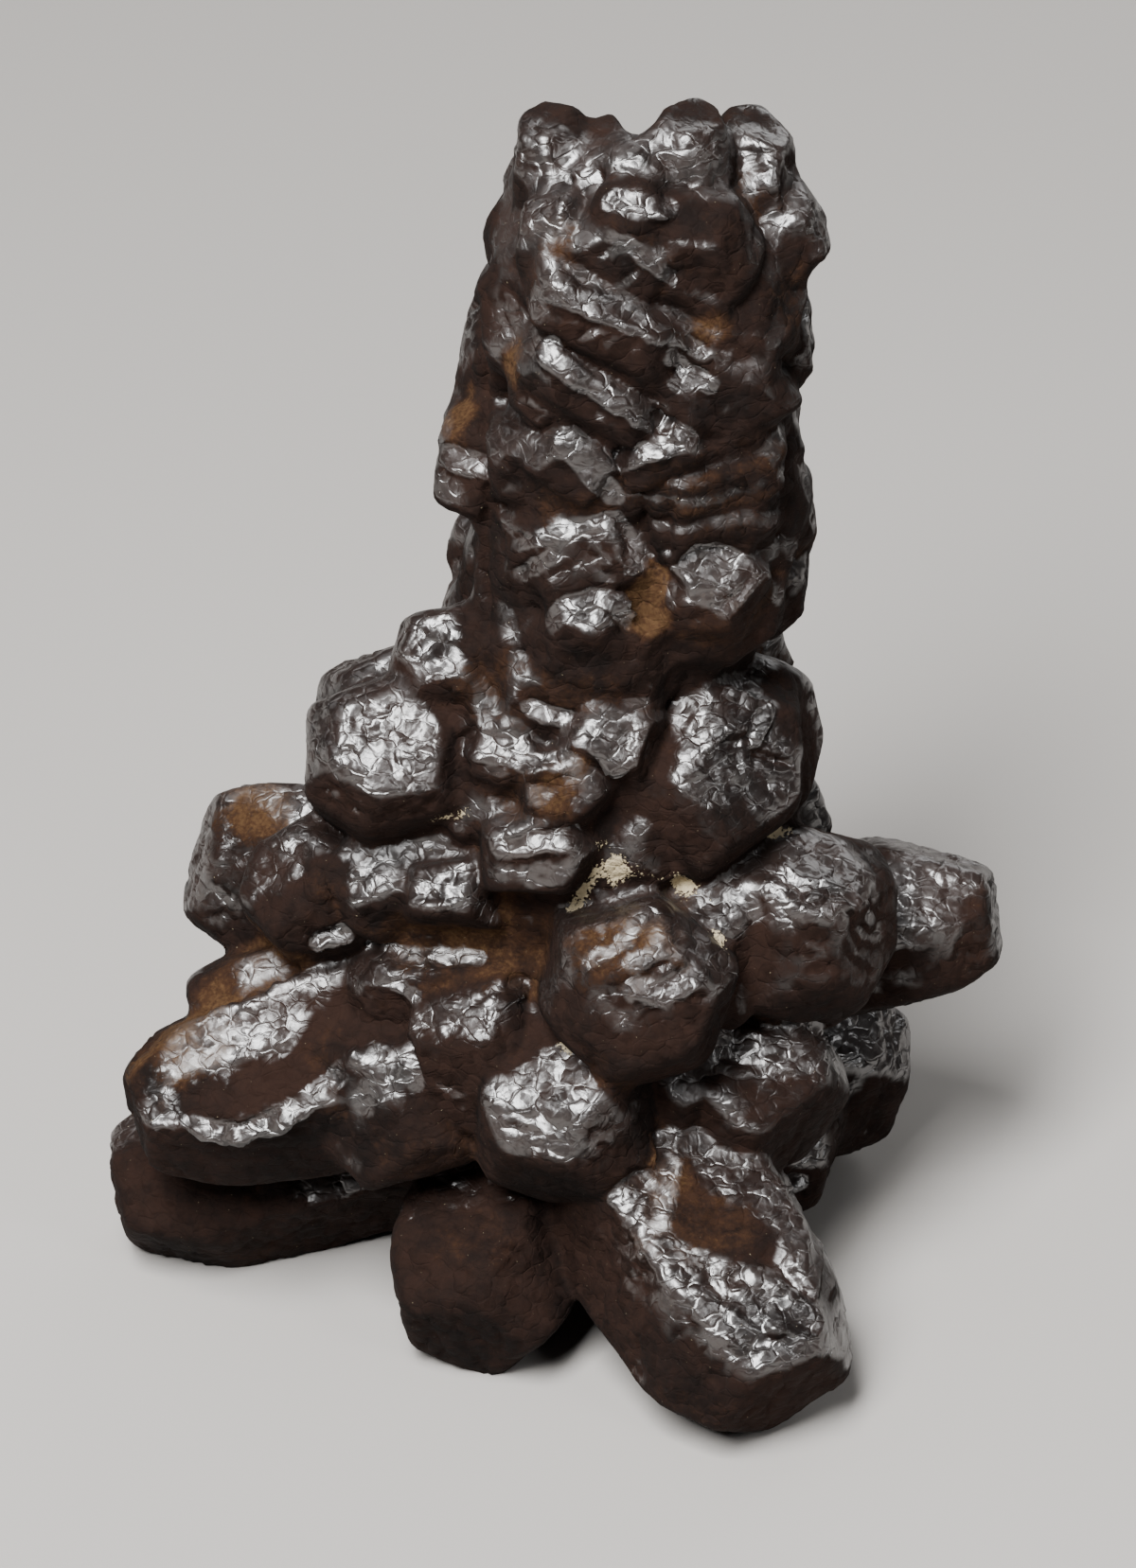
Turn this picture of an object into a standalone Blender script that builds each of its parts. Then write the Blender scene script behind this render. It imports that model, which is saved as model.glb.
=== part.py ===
"""An iron oxide concretion: a stubby stalk of fused crystal blocks standing on a star of larger ones.

The stone grew as one piece, so it is one solid. Each crystal block is a rounded many-sided prism that
runs from a root inside the stone to a flat end face outside it. All the blocks are fused to one skin.
"""

import math
import zlib
from collections import namedtuple

import bpy
import numpy as np

MM = 0.001

# Driving dimensions, in millimetres
SKIN_CELL = 0.5
GROUND_REACH = 60

# The share of the skin's triangles that stay, and the steps of a crystal's grid round it and along it
SKIN_KEPT = 0.1
RING_STEPS = 36
POLE_STEPS = 26

STONE_COLOUR = (0.03, 0.018, 0.013, 1)
STONE_ROUGHNESS = 0.38

# How a crystal is cut: the flat faces stand off its middle by these shares of its half size
BEVEL_STAND_OFF = 1.16
FACE_JITTER = 0.10
EDGE_SHARPNESS = 32

Crystal = namedtuple("Crystal", "name root tip width height roll sides taper", defaults=[0])

# Root and tip in millimetres: +X right, +Y back, +Z up. The tip is the middle of the outer end face.
STALK = [
    Crystal("stalk_core_low", (-0.5, 0, 22), (1.6, 0.5, 46), 13, 12, 10, 6),
    Crystal("stalk_core_high", (1.2, 0.5, 40), (3.2, 0.8, 60.5), 13.5, 11, 20, 6),
    Crystal("crown_left", (0, 1, 50), (-2.1, 0.2, 63.3), 5.0, 7, 0, 6, 0.25),
    Crystal("crown_left_inner", (1, 0.5, 52), (0.6, -0.6, 62.8), 3.2, 6, 0, 5),
    Crystal("crown_middle", (3.4, 0.5, 50), (4.9, -0.8, 64.0), 5.4, 6.6, 10, 7, 0.2),
    Crystal("crown_middle_front", (4, 0, 55), (5.0, -4.9, 60.6), 4.4, 4.6, -8, 5),
    Crystal("crown_right", (5, 2.5, 48), (8.2, 2.2, 62.2), 4.4, 6.6, -10, 5),
    Crystal("crown_peak_front", (2.2, 1, 57), (2.4, -3.0, 62.8), 3.8, 3.8, 0, 5),
    Crystal("crown_step_front", (2.0, 0, 57), (1.9, -5.3, 61.5), 3.8, 2.8, 8, 5),
    Crystal("crown_shoulder", (5, 1, 55), (11.1, 0.4, 57.8), 5.4, 4.8, 0, 5),
    Crystal("crown_left_flank", (1, 0.5, 56), (-3.5, -0.8, 58.8), 7.5, 6.5, 0, 5),
    Crystal("upper_front", (1.8, 0, 58.4), (1.6, -6.2, 58.8), 5.2, 3.8, 40, 4),
    Crystal("upper_front_right", (4, 1, 57), (5.8, -5.3, 58.2), 5.2, 6.2, 16, 5),
    Crystal("upper_front_left", (0, 0, 58), (-2.2, -5.0, 59.0), 3.4, 5.0, 0, 5),
    Crystal("upper_right", (5, 1, 54), (9.4, -3.0, 55.2), 5.4, 5.6, 14, 5),
    Crystal("upper_right_side", (4, 1, 51), (10.9, 0.2, 51.6), 5.4, 4.4, 0, 5),
    Crystal("upper_right_low", (4, 1, 47), (10.2, 0.2, 47.4), 6.0, 4.8, 0, 6),
    Crystal("upper_left", (0, 1, 53), (-3.9, -4.0, 54.4), 5.0, 6.6, -10, 5),
    Crystal("left_flank", (0, 2, 50), (-5.2, 1.5, 52.4), 8, 8.0, 10, 5),
    Crystal("left_flank_low", (0, 2, 45), (-5.6, 0.6, 49.4), 6, 5.6, 0, 6),
    Crystal("ledge_front", (0.7, 0, 55.6), (0.6, -7.4, 55.6), 8.4, 3.6, 30, 4),
    Crystal("ledge_right", (5, 0, 53), (7.4, -5.6, 53.6), 5.4, 3.8, 24, 4),
    Crystal("ledge_rough_face", (1, 0, 53), (1.0, -6.7, 53.4), 5.6, 3.4, 22, 5),
    Crystal("middle_left", (0, 0, 51), (-2.3, -6.4, 51.6), 3.8, 3.9, 0, 6),
    Crystal("middle_ledge", (0.2, 0, 52), (0.2, -7.6, 51.9), 7.2, 2.8, 35, 4),
    Crystal("middle_right", (5, 0, 51), (6.6, -6.2, 51.1), 7.6, 3.8, 10, 5),
    Crystal("middle_front", (1, 0, 49.4), (1.0, -6.5, 49.7), 4.8, 3.4, 24, 5),
    Crystal("middle_climbing_ledge", (3, 0, 49), (3.6, -7.2, 48.9), 4.6, 2.6, -28, 4),
    Crystal("middle_gap_floor", (2.2, 0, 47.4), (2.4, -6.2, 47.6), 4.2, 4.0, 0, 5),
    Crystal("layer_high", (4, 0, 48), (6.6, -6.1, 48.3), 7.2, 2.3, -6, 4),
    Crystal("layer_middle", (4, 0, 47), (6.8, -6.5, 46.8), 7.2, 2.1, -3, 4),
    Crystal("layer_low", (4, 0, 45), (6.6, -6.6, 45.2), 6.4, 2.4, 3, 4),
    Crystal("middle_step", (-0.6, 0, 48), (-0.8, -7.5, 48.2), 4.2, 3.4, 42, 4),
    Crystal("middle_step_floor", (0, 0, 46.4), (0.2, -6.9, 46.3), 5.4, 4.6, 6, 5),
    Crystal("middle_left_low", (-1, 0, 47), (-3.2, -6.2, 47.2), 4.4, 5.0, -12, 5),
    Crystal("left_bulge", (-2, 3, 44.5), (-6.0, -3.6, 46.2), 4.9, 5.8, 0, 5),
    Crystal("right_bulge", (4, 1, 41.5), (11.2, 0.6, 42.3), 6.0, 4.8, 0, 6),
    Crystal("right_bulge_top", (4, 1, 44), (10.2, -1.8, 44.8), 4.8, 5.0, 0, 6),
    Crystal("right_side_low", (4, 1, 38.5), (11.0, 0.2, 38.2), 6.4, 5.6, 0, 5),
    Crystal("right_flank_front", (4, 1, 42), (9.6, -3.6, 43.4), 5.2, 6.0, 0, 5),
    Crystal("lower_front", (-0.4, 0, 42.6), (-0.3, -7.8, 43.4), 5.6, 5.0, -24, 4),
    Crystal("lower_groove_floor", (3.2, 0, 43), (3.2, -6.2, 43.6), 3.4, 7.0, 0, 4),
    Crystal("lower_right_ledge", (4, 0, 43.8), (6.4, -6.8, 44.0), 6.4, 2.6, 0, 5),
    Crystal("lower_front_lip", (0, -2, 36.5), (0.0, -8.5, 41.2), 4.0, 3.2, 0, 6),
    Crystal("lower_front_lump", (0.4, 0, 38.4), (0.6, -8.5, 38.2), 6.8, 4.6, 0, 6),
    Crystal("lower_ochre_pocket", (1.6, 0, 40.6), (2.2, -7.0, 40.6), 4.6, 5.4, 0, 5),
    Crystal("lower_left_lump", (-1.4, 0, 42), (-2.7, -6.4, 42.2), 3.6, 4.2, 8, 5),
    Crystal("lower_right", (4.6, -1, 37.4), (6.3, -7.2, 42.4), 5.6, 5.8, 6, 5),
    Crystal("lower_right_lump", (4, 0, 39.4), (7.4, -6.4, 38.8), 6.8, 5.4, 0, 6),
    Crystal("lower_left_strip", (0, 0, 38), (-5.9, 0.5, 39.6), 6, 8, 0, 5),
    Crystal("lower_left_front", (-1, 0, 40), (-4.3, -5.0, 41.0), 4.6, 11, 0, 4),
    Crystal("waist_front", (0.4, 0, 36), (0.6, -8.2, 36.0), 7, 4.6, 0, 6),
    Crystal("waist_front_left", (-1, 0, 35.4), (-2.2, -8.2, 35.6), 4.8, 4.6, 12, 5),
    Crystal("waist_hollow_left", (-1.6, 0, 35.6), (-4.4, -6.6, 36.0), 5.4, 5.8, -8, 5),
    Crystal("waist_right", (2, 0, 37), (7.4, -3.4, 36), 8, 6.6, 0, 6),
]

WAIST = [
    Crystal("left_upper_knob", (-5.6, 0, 32), (-7.5, -5.9, 37.6), 5.2, 5.4, 10, 6),
    Crystal("left_upper_back", (-1, 1, 33), (-7.4, 0.5, 35.4), 6.2, 5.6, 0, 6),
    Crystal("left_mid_knob", (-10.2, 0, 26), (-9.7, -8.2, 33.6), 8.0, 8.0, 10, 6),
    Crystal("left_mid_back", (-1, 2, 27), (-13.2, -1.5, 30.4), 8, 8.0, 0, 6),
    Crystal("left_mid_under", (-3, 0, 26), (-11.6, -5.8, 27.4), 5.6, 4.8, 0, 6),
    Crystal("right_mid_knob", (1, 2, 25), (7.8, -7.8, 31.8), 10.4, 9.2, -28, 5),
    Crystal("right_mid_side", (0, 2, 27), (10.8, -2.6, 30.6), 9, 8.6, 0, 6),
    Crystal("waist_knob_left", (-2, 0, 28.6), (-4.4, -8.9, 33.4), 4.2, 4.6, 0, 5),
    Crystal("waist_knob_middle", (-0.6, 0, 27.4), (-1.3, -10.4, 32.2), 5.2, 4.6, 0, 5),
    Crystal("waist_knob_low", (-2, 0, 26), (-2.6, -11.6, 28.8), 6.4, 5.0, -6, 5),
    Crystal("waist_knob_right", (0.4, 0, 29.4), (1.2, -9.4, 34.6), 5.2, 4.2, 24, 4),
    Crystal("waist_knob_under", (0, 0, 26), (3.8, -9.6, 28.2), 6, 5.4, 0, 6),
    Crystal("waist_knob_low_left", (-2, 0, 28), (-6.4, -8.4, 30.6), 5.2, 5.6, 10, 5),
    Crystal("waist_hollow_low", (-1, 0, 29.6), (-4.2, -8.8, 30.8), 4.8, 4.4, 0, 5),
    Crystal("left_upper_under", (-3, 0, 33), (-6.6, -6.8, 34.6), 4.6, 4.6, 0, 5),
]

BASE = [
    Crystal("body", (0, 1, 2), (0, 0, 34), 22, 20, 0, 6),
    Crystal("left_arm", (-4, -4, 14.6), (-23.2, -9.3, 11.8), 12.2, 12.4, -14, 5, 0.4),
    Crystal("left_arm_ridge", (-3, -3.4, 16.4), (-20.4, -5.6, 14.6), 8.6, 8.6, -14, 5, 0.1),
    Crystal("left_plateau", (-0.6, -5.6, 17.4), (-12.2, -6.0, 16.8), 8.8, 9.4, 4, 4),
    Crystal("left_plateau_front", (-3.6, -3, 16.6), (-6.1, -13.4, 16.4), 8.2, 9.0, 8, 5, 0.1),
    Crystal("left_arm_front", (-7, -4, 12.4), (-12.2, -11.9, 13.8), 10.4, 8.8, 12, 5),
    Crystal("left_foot", (-4, -1, 6.5), (-24.8, -4.6, 3.4), 9.6, 9.0, 0, 5, 0.1),
    Crystal("left_low_knob", (-9, 1, 16), (-15.4, -6.6, 24.8), 7.0, 7.2, -12, 6),
    Crystal("left_low_knob_inner", (-8, -1, 18.6), (-11.2, -8.0, 26.0), 5.0, 5.2, 10, 5),
    Crystal("left_back_knob", (-2, 2, 15), (-20.2, 1.2, 20.8), 9, 10.0, 0, 6),
    Crystal("left_step", (-4, -2, 20), (-7.4, -10.0, 26.2), 4.8, 3.6, -10, 4),
    Crystal("front_foot", (-2, -2, 8), (-6.4, -16.4, 3.0), 9.5, 8.6, 0, 5),
    Crystal("right_front_foot", (-1, -2, 12.4), (9.8, -21.8, 3.3), 13.0, 12.0, 14, 5, 0.2),
    Crystal("right_front_foot_face", (7.6, -14.5, 2.5), (9.1, -19.4, 8.7), 7.0, 6.0, 10, 5),
    Crystal("right_front_foot_rib", (3.2, -10, 7), (3.7, -14.8, 11.6), 3.0, 5.2, 0, 5),
    Crystal("front_small", (0.5, -6, 19), (-2.2, -15.8, 12.2), 8.4, 8.0, 14, 5),
    Crystal("front_knob", (1, -3, 19), (3.0, -15.8, 22.6), 8.9, 9.0, 15, 6),
    Crystal("right_arm", (1.6, -1, 20.6), (14.3, -8.7, 22.2), 11.4, 10.8, 10, 6, 0.12),
    Crystal("right_arm_root", (1, -1, 20.6), (8.2, -10.8, 22.4), 6.6, 8.8, 12, 6),
    Crystal("right_arm_shoulder", (2, -1, 23), (8.6, -7.8, 25.0), 7.4, 5.6, 10, 6),
    Crystal("right_back_arm", (2, 2, 14), (21.3, 0.4, 17.5), 10.4, 10.4, 0, 6, 0.25),
    Crystal("right_low", (2.6, -3.2, 15.6), (10.8, -11.2, 11.8), 10.2, 8.2, 0, 5),
    Crystal("right_low_inner", (1, -3, 16), (6.4, -12.0, 13.4), 6.6, 7.0, 0, 5),
    Crystal("right_low_face", (6, -4.5, 8.6), (9.4, -9.8, 15.6), 7.0, 6.0, -10, 5),
    Crystal("right_back_foot", (2, 2, 8.6), (16.6, 4.2, 4.5), 8, 9.9, 0, 6),
    Crystal("right_under", (2, 0, 6), (13, -2.6, 4), 7, 8, 0, 6),
    Crystal("back_foot", (0, 2, 8), (-3, 18.4, 2.6), 11, 8, 0, 5),
    Crystal("back_left_foot", (-2, 2, 8), (-15, 13, 3.0), 9, 8.5, 0, 5),
    Crystal("back_right_foot", (2, 2, 9), (12.4, 14.6, 3.2), 9, 9.6, 0, 6),
]

# The back, which the front hides: rings of crystals by height, reach from the stalk's middle, size and count
BACK_RINGS = [
    (13, 16, 9.0, 5),
    (20, 14, 8.4, 5),
    (27, 11.5, 7.6, 5),
    (33, 9.6, 6.6, 4),
    (38.5, 8.6, 6.0, 4),
    (43.5, 8.2, 5.6, 4),
    (48.5, 8.0, 5.4, 4),
    (53.5, 7.8, 5.2, 4),
    (58, 6.8, 4.8, 3),
]

# The back spreads over this turn either side of straight back, and each ring is turned on from the last
BACK_SPREAD = math.radians(68)
RING_TURN = 0.45

# The underside: short crystals round the middle, between the feet
UNDER_COUNT = 7
UNDER_REACH = 8.5
UNDER_SIZE = 7.6


def stalk_middle(z):
    """Plan position of the stalk's middle at a height, which leans to the right as it climbs."""
    return np.array([np.interp(z, [20, 60], [0, 2.8]), 1.0])


def back_crystals():
    """Crystals in rings over the back, each with a root low in the stalk's middle and a tip at its reach."""
    dice = np.random.default_rng(11)
    crystals = []
    for row, (height, reach, size, count) in enumerate(BACK_RINGS):
        for place in range(count):
            share = (place + 0.5 + RING_TURN * (row % 2) - RING_TURN / 2) / count * 2 - 1
            turn = share * BACK_SPREAD + dice.normal(0, 0.06)
            out = np.array([math.sin(turn), math.cos(turn)]) * reach * dice.uniform(0.92, 1.08)
            tip_height = height + dice.uniform(-1.8, 1.8)
            middle = stalk_middle(tip_height)
            width, depth = size * dice.uniform(0.75, 1.35, 2)
            crystals.append(Crystal(
                f"back_{row}_{place}",
                (*middle, tip_height - size / 2),
                (*(middle + out), tip_height),
                width, depth, dice.uniform(-30, 30), int(dice.integers(5, 7)),
            ))
    return crystals


def under_crystals():
    """Crystals that point down and out round the middle of the underside, clear of the ground."""
    crystals = []
    for place in range(UNDER_COUNT):
        turn = 2 * math.pi * place / UNDER_COUNT
        reach = UNDER_REACH * (1 - 0.35 * (place % 2))
        tip = (reach * math.cos(turn), reach * math.sin(turn), 1.6 + place % 3)
        crystals.append(Crystal(f"under_{place}", (tip[0] / 2, tip[1] / 2, 12), tip, UNDER_SIZE, UNDER_SIZE, 0, 5))
    return crystals


CRYSTALS = STALK + WAIST + BASE + back_crystals() + under_crystals()


def clear_scene():
    for thing in list(bpy.data.objects):
        bpy.data.objects.remove(thing)


def look_directions():
    """Unit directions on a grid: polar angle by row, from the tip pole to the root pole, and turn by column."""
    polar = np.linspace(0, math.pi, POLE_STEPS)[:, None]
    turn = np.linspace(0, 2 * math.pi, RING_STEPS, endpoint=False)[None, :]
    along = np.cos(polar) * np.ones_like(turn)
    return np.stack([along, np.sin(polar) * np.cos(turn), np.sin(polar) * np.sin(turn)], axis=-1)


def face_normals(sides, dice):
    """Normals of the flat faces: two ends, the sides, and a bevel between each side and the tip end."""
    turn = 2 * math.pi * np.arange(sides) / sides
    side = np.stack([np.zeros(sides), np.cos(turn), np.sin(turn)], axis=-1)
    bevel = np.stack([np.full(sides, 0.9), np.cos(turn), np.sin(turn)], axis=-1)
    normals = np.concatenate([[[1, 0, 0], [-1, 0, 0]], side, bevel])
    normals[2:] += dice.normal(0, FACE_JITTER, normals[2:].shape)
    normals /= np.linalg.norm(normals, axis=1, keepdims=True)
    stand_off = np.concatenate([np.ones(2 + sides), np.full(sides, BEVEL_STAND_OFF)])
    return normals, stand_off


def unit_crystal(sides, dice):
    """Points at direction d and distance (sum over faces of max(0, d . normal / stand-off)^s)^(-1/s)."""
    directions = look_directions()
    normals, stand_off = face_normals(sides, dice)
    reach = np.maximum(0, directions @ (normals / stand_off[:, None]).T) ** EDGE_SHARPNESS
    return directions * (reach.sum(axis=-1, keepdims=True) ** (-1 / EDGE_SHARPNESS))


def crystal_axes(crystal):
    """Rows are the directions of the crystal's length, width and height, in the stone's frame."""
    along = np.array(crystal.tip, float) - np.array(crystal.root, float)
    along /= np.linalg.norm(along)
    up = np.array([0.0, 0.0, 1.0]) if abs(along[2]) < 0.9 else np.array([0.0, 1.0, 0.0])
    across = np.cross(along, up)
    across /= np.linalg.norm(across)
    rise = np.cross(across, along)
    turn = math.radians(crystal.roll)
    return np.array([
        along,
        math.cos(turn) * across + math.sin(turn) * rise,
        math.cos(turn) * rise - math.sin(turn) * across,
    ])


def crystal_points(crystal):
    """The unit crystal at its own size, turned and moved to its place. Its name seeds its small tilts."""
    dice = np.random.default_rng(zlib.crc32(crystal.name.encode()))
    root, tip = np.array(crystal.root, float), np.array(crystal.tip, float)
    half = np.array([np.linalg.norm(tip - root), crystal.width, crystal.height]) / 2
    shape = unit_crystal(crystal.sides, dice)
    shape[..., 1:] *= 1 - crystal.taper * (shape[..., :1] + 1) / 2
    shape = shape * half
    return shape @ crystal_axes(crystal) + (root + tip) / 2


def grid_faces():
    """Quads between the rings, with a triangle fan at each pole."""
    rings = POLE_STEPS - 2
    column = np.arange(RING_STEPS)
    after = np.roll(column, -1)
    ring = np.arange(rings - 1)[:, None] * RING_STEPS + 1
    quads = np.stack([ring + column, ring + RING_STEPS + column, ring + RING_STEPS + after, ring + after], -1)
    last = 1 + (rings - 1) * RING_STEPS
    tip_fan = np.stack([np.zeros_like(column), column + 1, after + 1], -1)
    root_fan = np.stack([np.full_like(column, last + RING_STEPS), last + after, last + column], -1)
    return quads.reshape(-1, 4), np.concatenate([tip_fan, root_fan])


def raw_crystals():
    """Every crystal as its own closed shell, all in one mesh, with the middle of their plan at x = y = 0."""
    quads, fans = grid_faces()
    shell_size = (POLE_STEPS - 2) * RING_STEPS + 2
    points, faces = [], []
    for number, crystal in enumerate(CRYSTALS):
        grid = crystal_points(crystal)
        points.append(np.concatenate([grid[0, :1], grid[1:-1].reshape(-1, 3), grid[-1, :1]]))
        start = number * shell_size
        faces += (quads + start).tolist() + (fans + start).tolist()
    points = np.concatenate(points)
    middle = (points.min(axis=0) + points.max(axis=0)) / 2
    middle[2] = 0
    mesh = bpy.data.meshes.new("crystals")
    mesh.from_pydata(((points - middle) * MM).tolist(), [], faces)
    mesh.update()
    return mesh


def ground_block():
    """The block below z = 0 that cuts a small flat on each foot, so that the stone stands as it does in life."""
    points = np.array([[x, y, z] for z in (-1, 0) for y in (-1, 1) for x in (-1, 1)]) * GROUND_REACH * MM
    faces = [(0, 2, 3, 1), (4, 5, 7, 6), (0, 1, 5, 4), (2, 6, 7, 3), (0, 4, 6, 2), (1, 3, 7, 5)]
    mesh = bpy.data.meshes.new("ground_block")
    mesh.from_pydata(points.tolist(), [], faces)
    block = bpy.data.objects.new("ground_block", mesh)
    bpy.context.scene.collection.objects.link(block)
    block.hide_render = True
    block.display_type = "WIRE"
    return block


def iron_oxide():
    """Near-black brown stone with a dull gloss."""
    material = bpy.data.materials.new("iron_oxide")
    material.use_nodes = True
    surface = material.node_tree.nodes["Principled BSDF"]
    surface.inputs["Base Color"].default_value = STONE_COLOUR
    surface.inputs["Roughness"].default_value = STONE_ROUGHNESS
    surface.inputs["Metallic"].default_value = 0
    return material


def main():
    clear_scene()
    stone = bpy.data.objects.new("concretion", raw_crystals())
    stone.data.materials.append(iron_oxide())
    bpy.context.scene.collection.objects.link(stone)
    fuse = stone.modifiers.new("fuse", "REMESH")
    fuse.mode = "VOXEL"
    fuse.voxel_size = SKIN_CELL * MM
    fuse.use_smooth_shade = True
    ease = stone.modifiers.new("ease", "SMOOTH")
    ease.iterations = 2
    thin = stone.modifiers.new("thin", "DECIMATE")
    thin.ratio = SKIN_KEPT
    cut = stone.modifiers.new("rest_cut", "BOOLEAN")
    cut.operation = "DIFFERENCE"
    cut.object = ground_block()


main()
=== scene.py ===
"""An iron oxide concretion: one dark stone, grown as a stalk of fused crystals on a star of larger ones.

The stone's skin is made in four steps. Every crystal is a closed surface of two parameters. All of them are
fused to one skin. The skin is then moved along its normals: by swells, growth steps and crumples over all of
it, and by the marks and growth faces that the photo shows. Last, the finish's masks are worked out for each
point of the skin. Lengths are in millimetres until a mesh is made.
"""

import itertools
import math
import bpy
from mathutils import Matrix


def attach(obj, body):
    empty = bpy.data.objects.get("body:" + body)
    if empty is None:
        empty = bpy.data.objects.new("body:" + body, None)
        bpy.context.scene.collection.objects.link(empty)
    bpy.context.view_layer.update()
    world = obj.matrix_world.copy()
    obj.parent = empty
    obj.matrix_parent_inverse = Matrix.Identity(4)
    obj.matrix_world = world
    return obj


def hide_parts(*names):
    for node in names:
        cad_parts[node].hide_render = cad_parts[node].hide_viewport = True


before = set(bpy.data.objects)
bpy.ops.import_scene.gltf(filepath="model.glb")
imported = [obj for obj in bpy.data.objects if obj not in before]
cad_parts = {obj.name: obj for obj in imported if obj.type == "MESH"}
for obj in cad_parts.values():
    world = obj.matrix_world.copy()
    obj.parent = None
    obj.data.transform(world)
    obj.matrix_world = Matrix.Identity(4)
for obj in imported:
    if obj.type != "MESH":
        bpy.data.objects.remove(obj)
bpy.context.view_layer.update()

import zlib
from collections import namedtuple

import bpy
import numpy as np
from mathutils import Vector

MM = 0.001
NODE = "concretion"

# The fused skin: a cell's edge while it is fused, the passes that ease its stairs, and the triangles kept
SKIN_CELL = 0.22
EASING_PASSES = 2
SKIN_TRIANGLES = 190000
RING_STEPS = 60
POLE_STEPS = 44

# The view: the camera's distance and height angle, its aim, and the picture's scale at the aim
VIEW_DISTANCE = 280
VIEW_RISE = math.radians(32)
AIM = (-1.0, 0.0, 26.0)
PIXELS_PER_MM = 20.6
PICTURE_SIZE = (1200, 1657)
SENSOR = 36

# How a crystal is cut: the flat faces stand off its middle by these shares of its half size
BEVEL_STAND_OFF = 1.16
FACE_JITTER = 0.10
EDGE_SHARPNESS = 32

Crystal = namedtuple("Crystal", "name root tip width height roll sides taper", defaults=[0])

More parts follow.
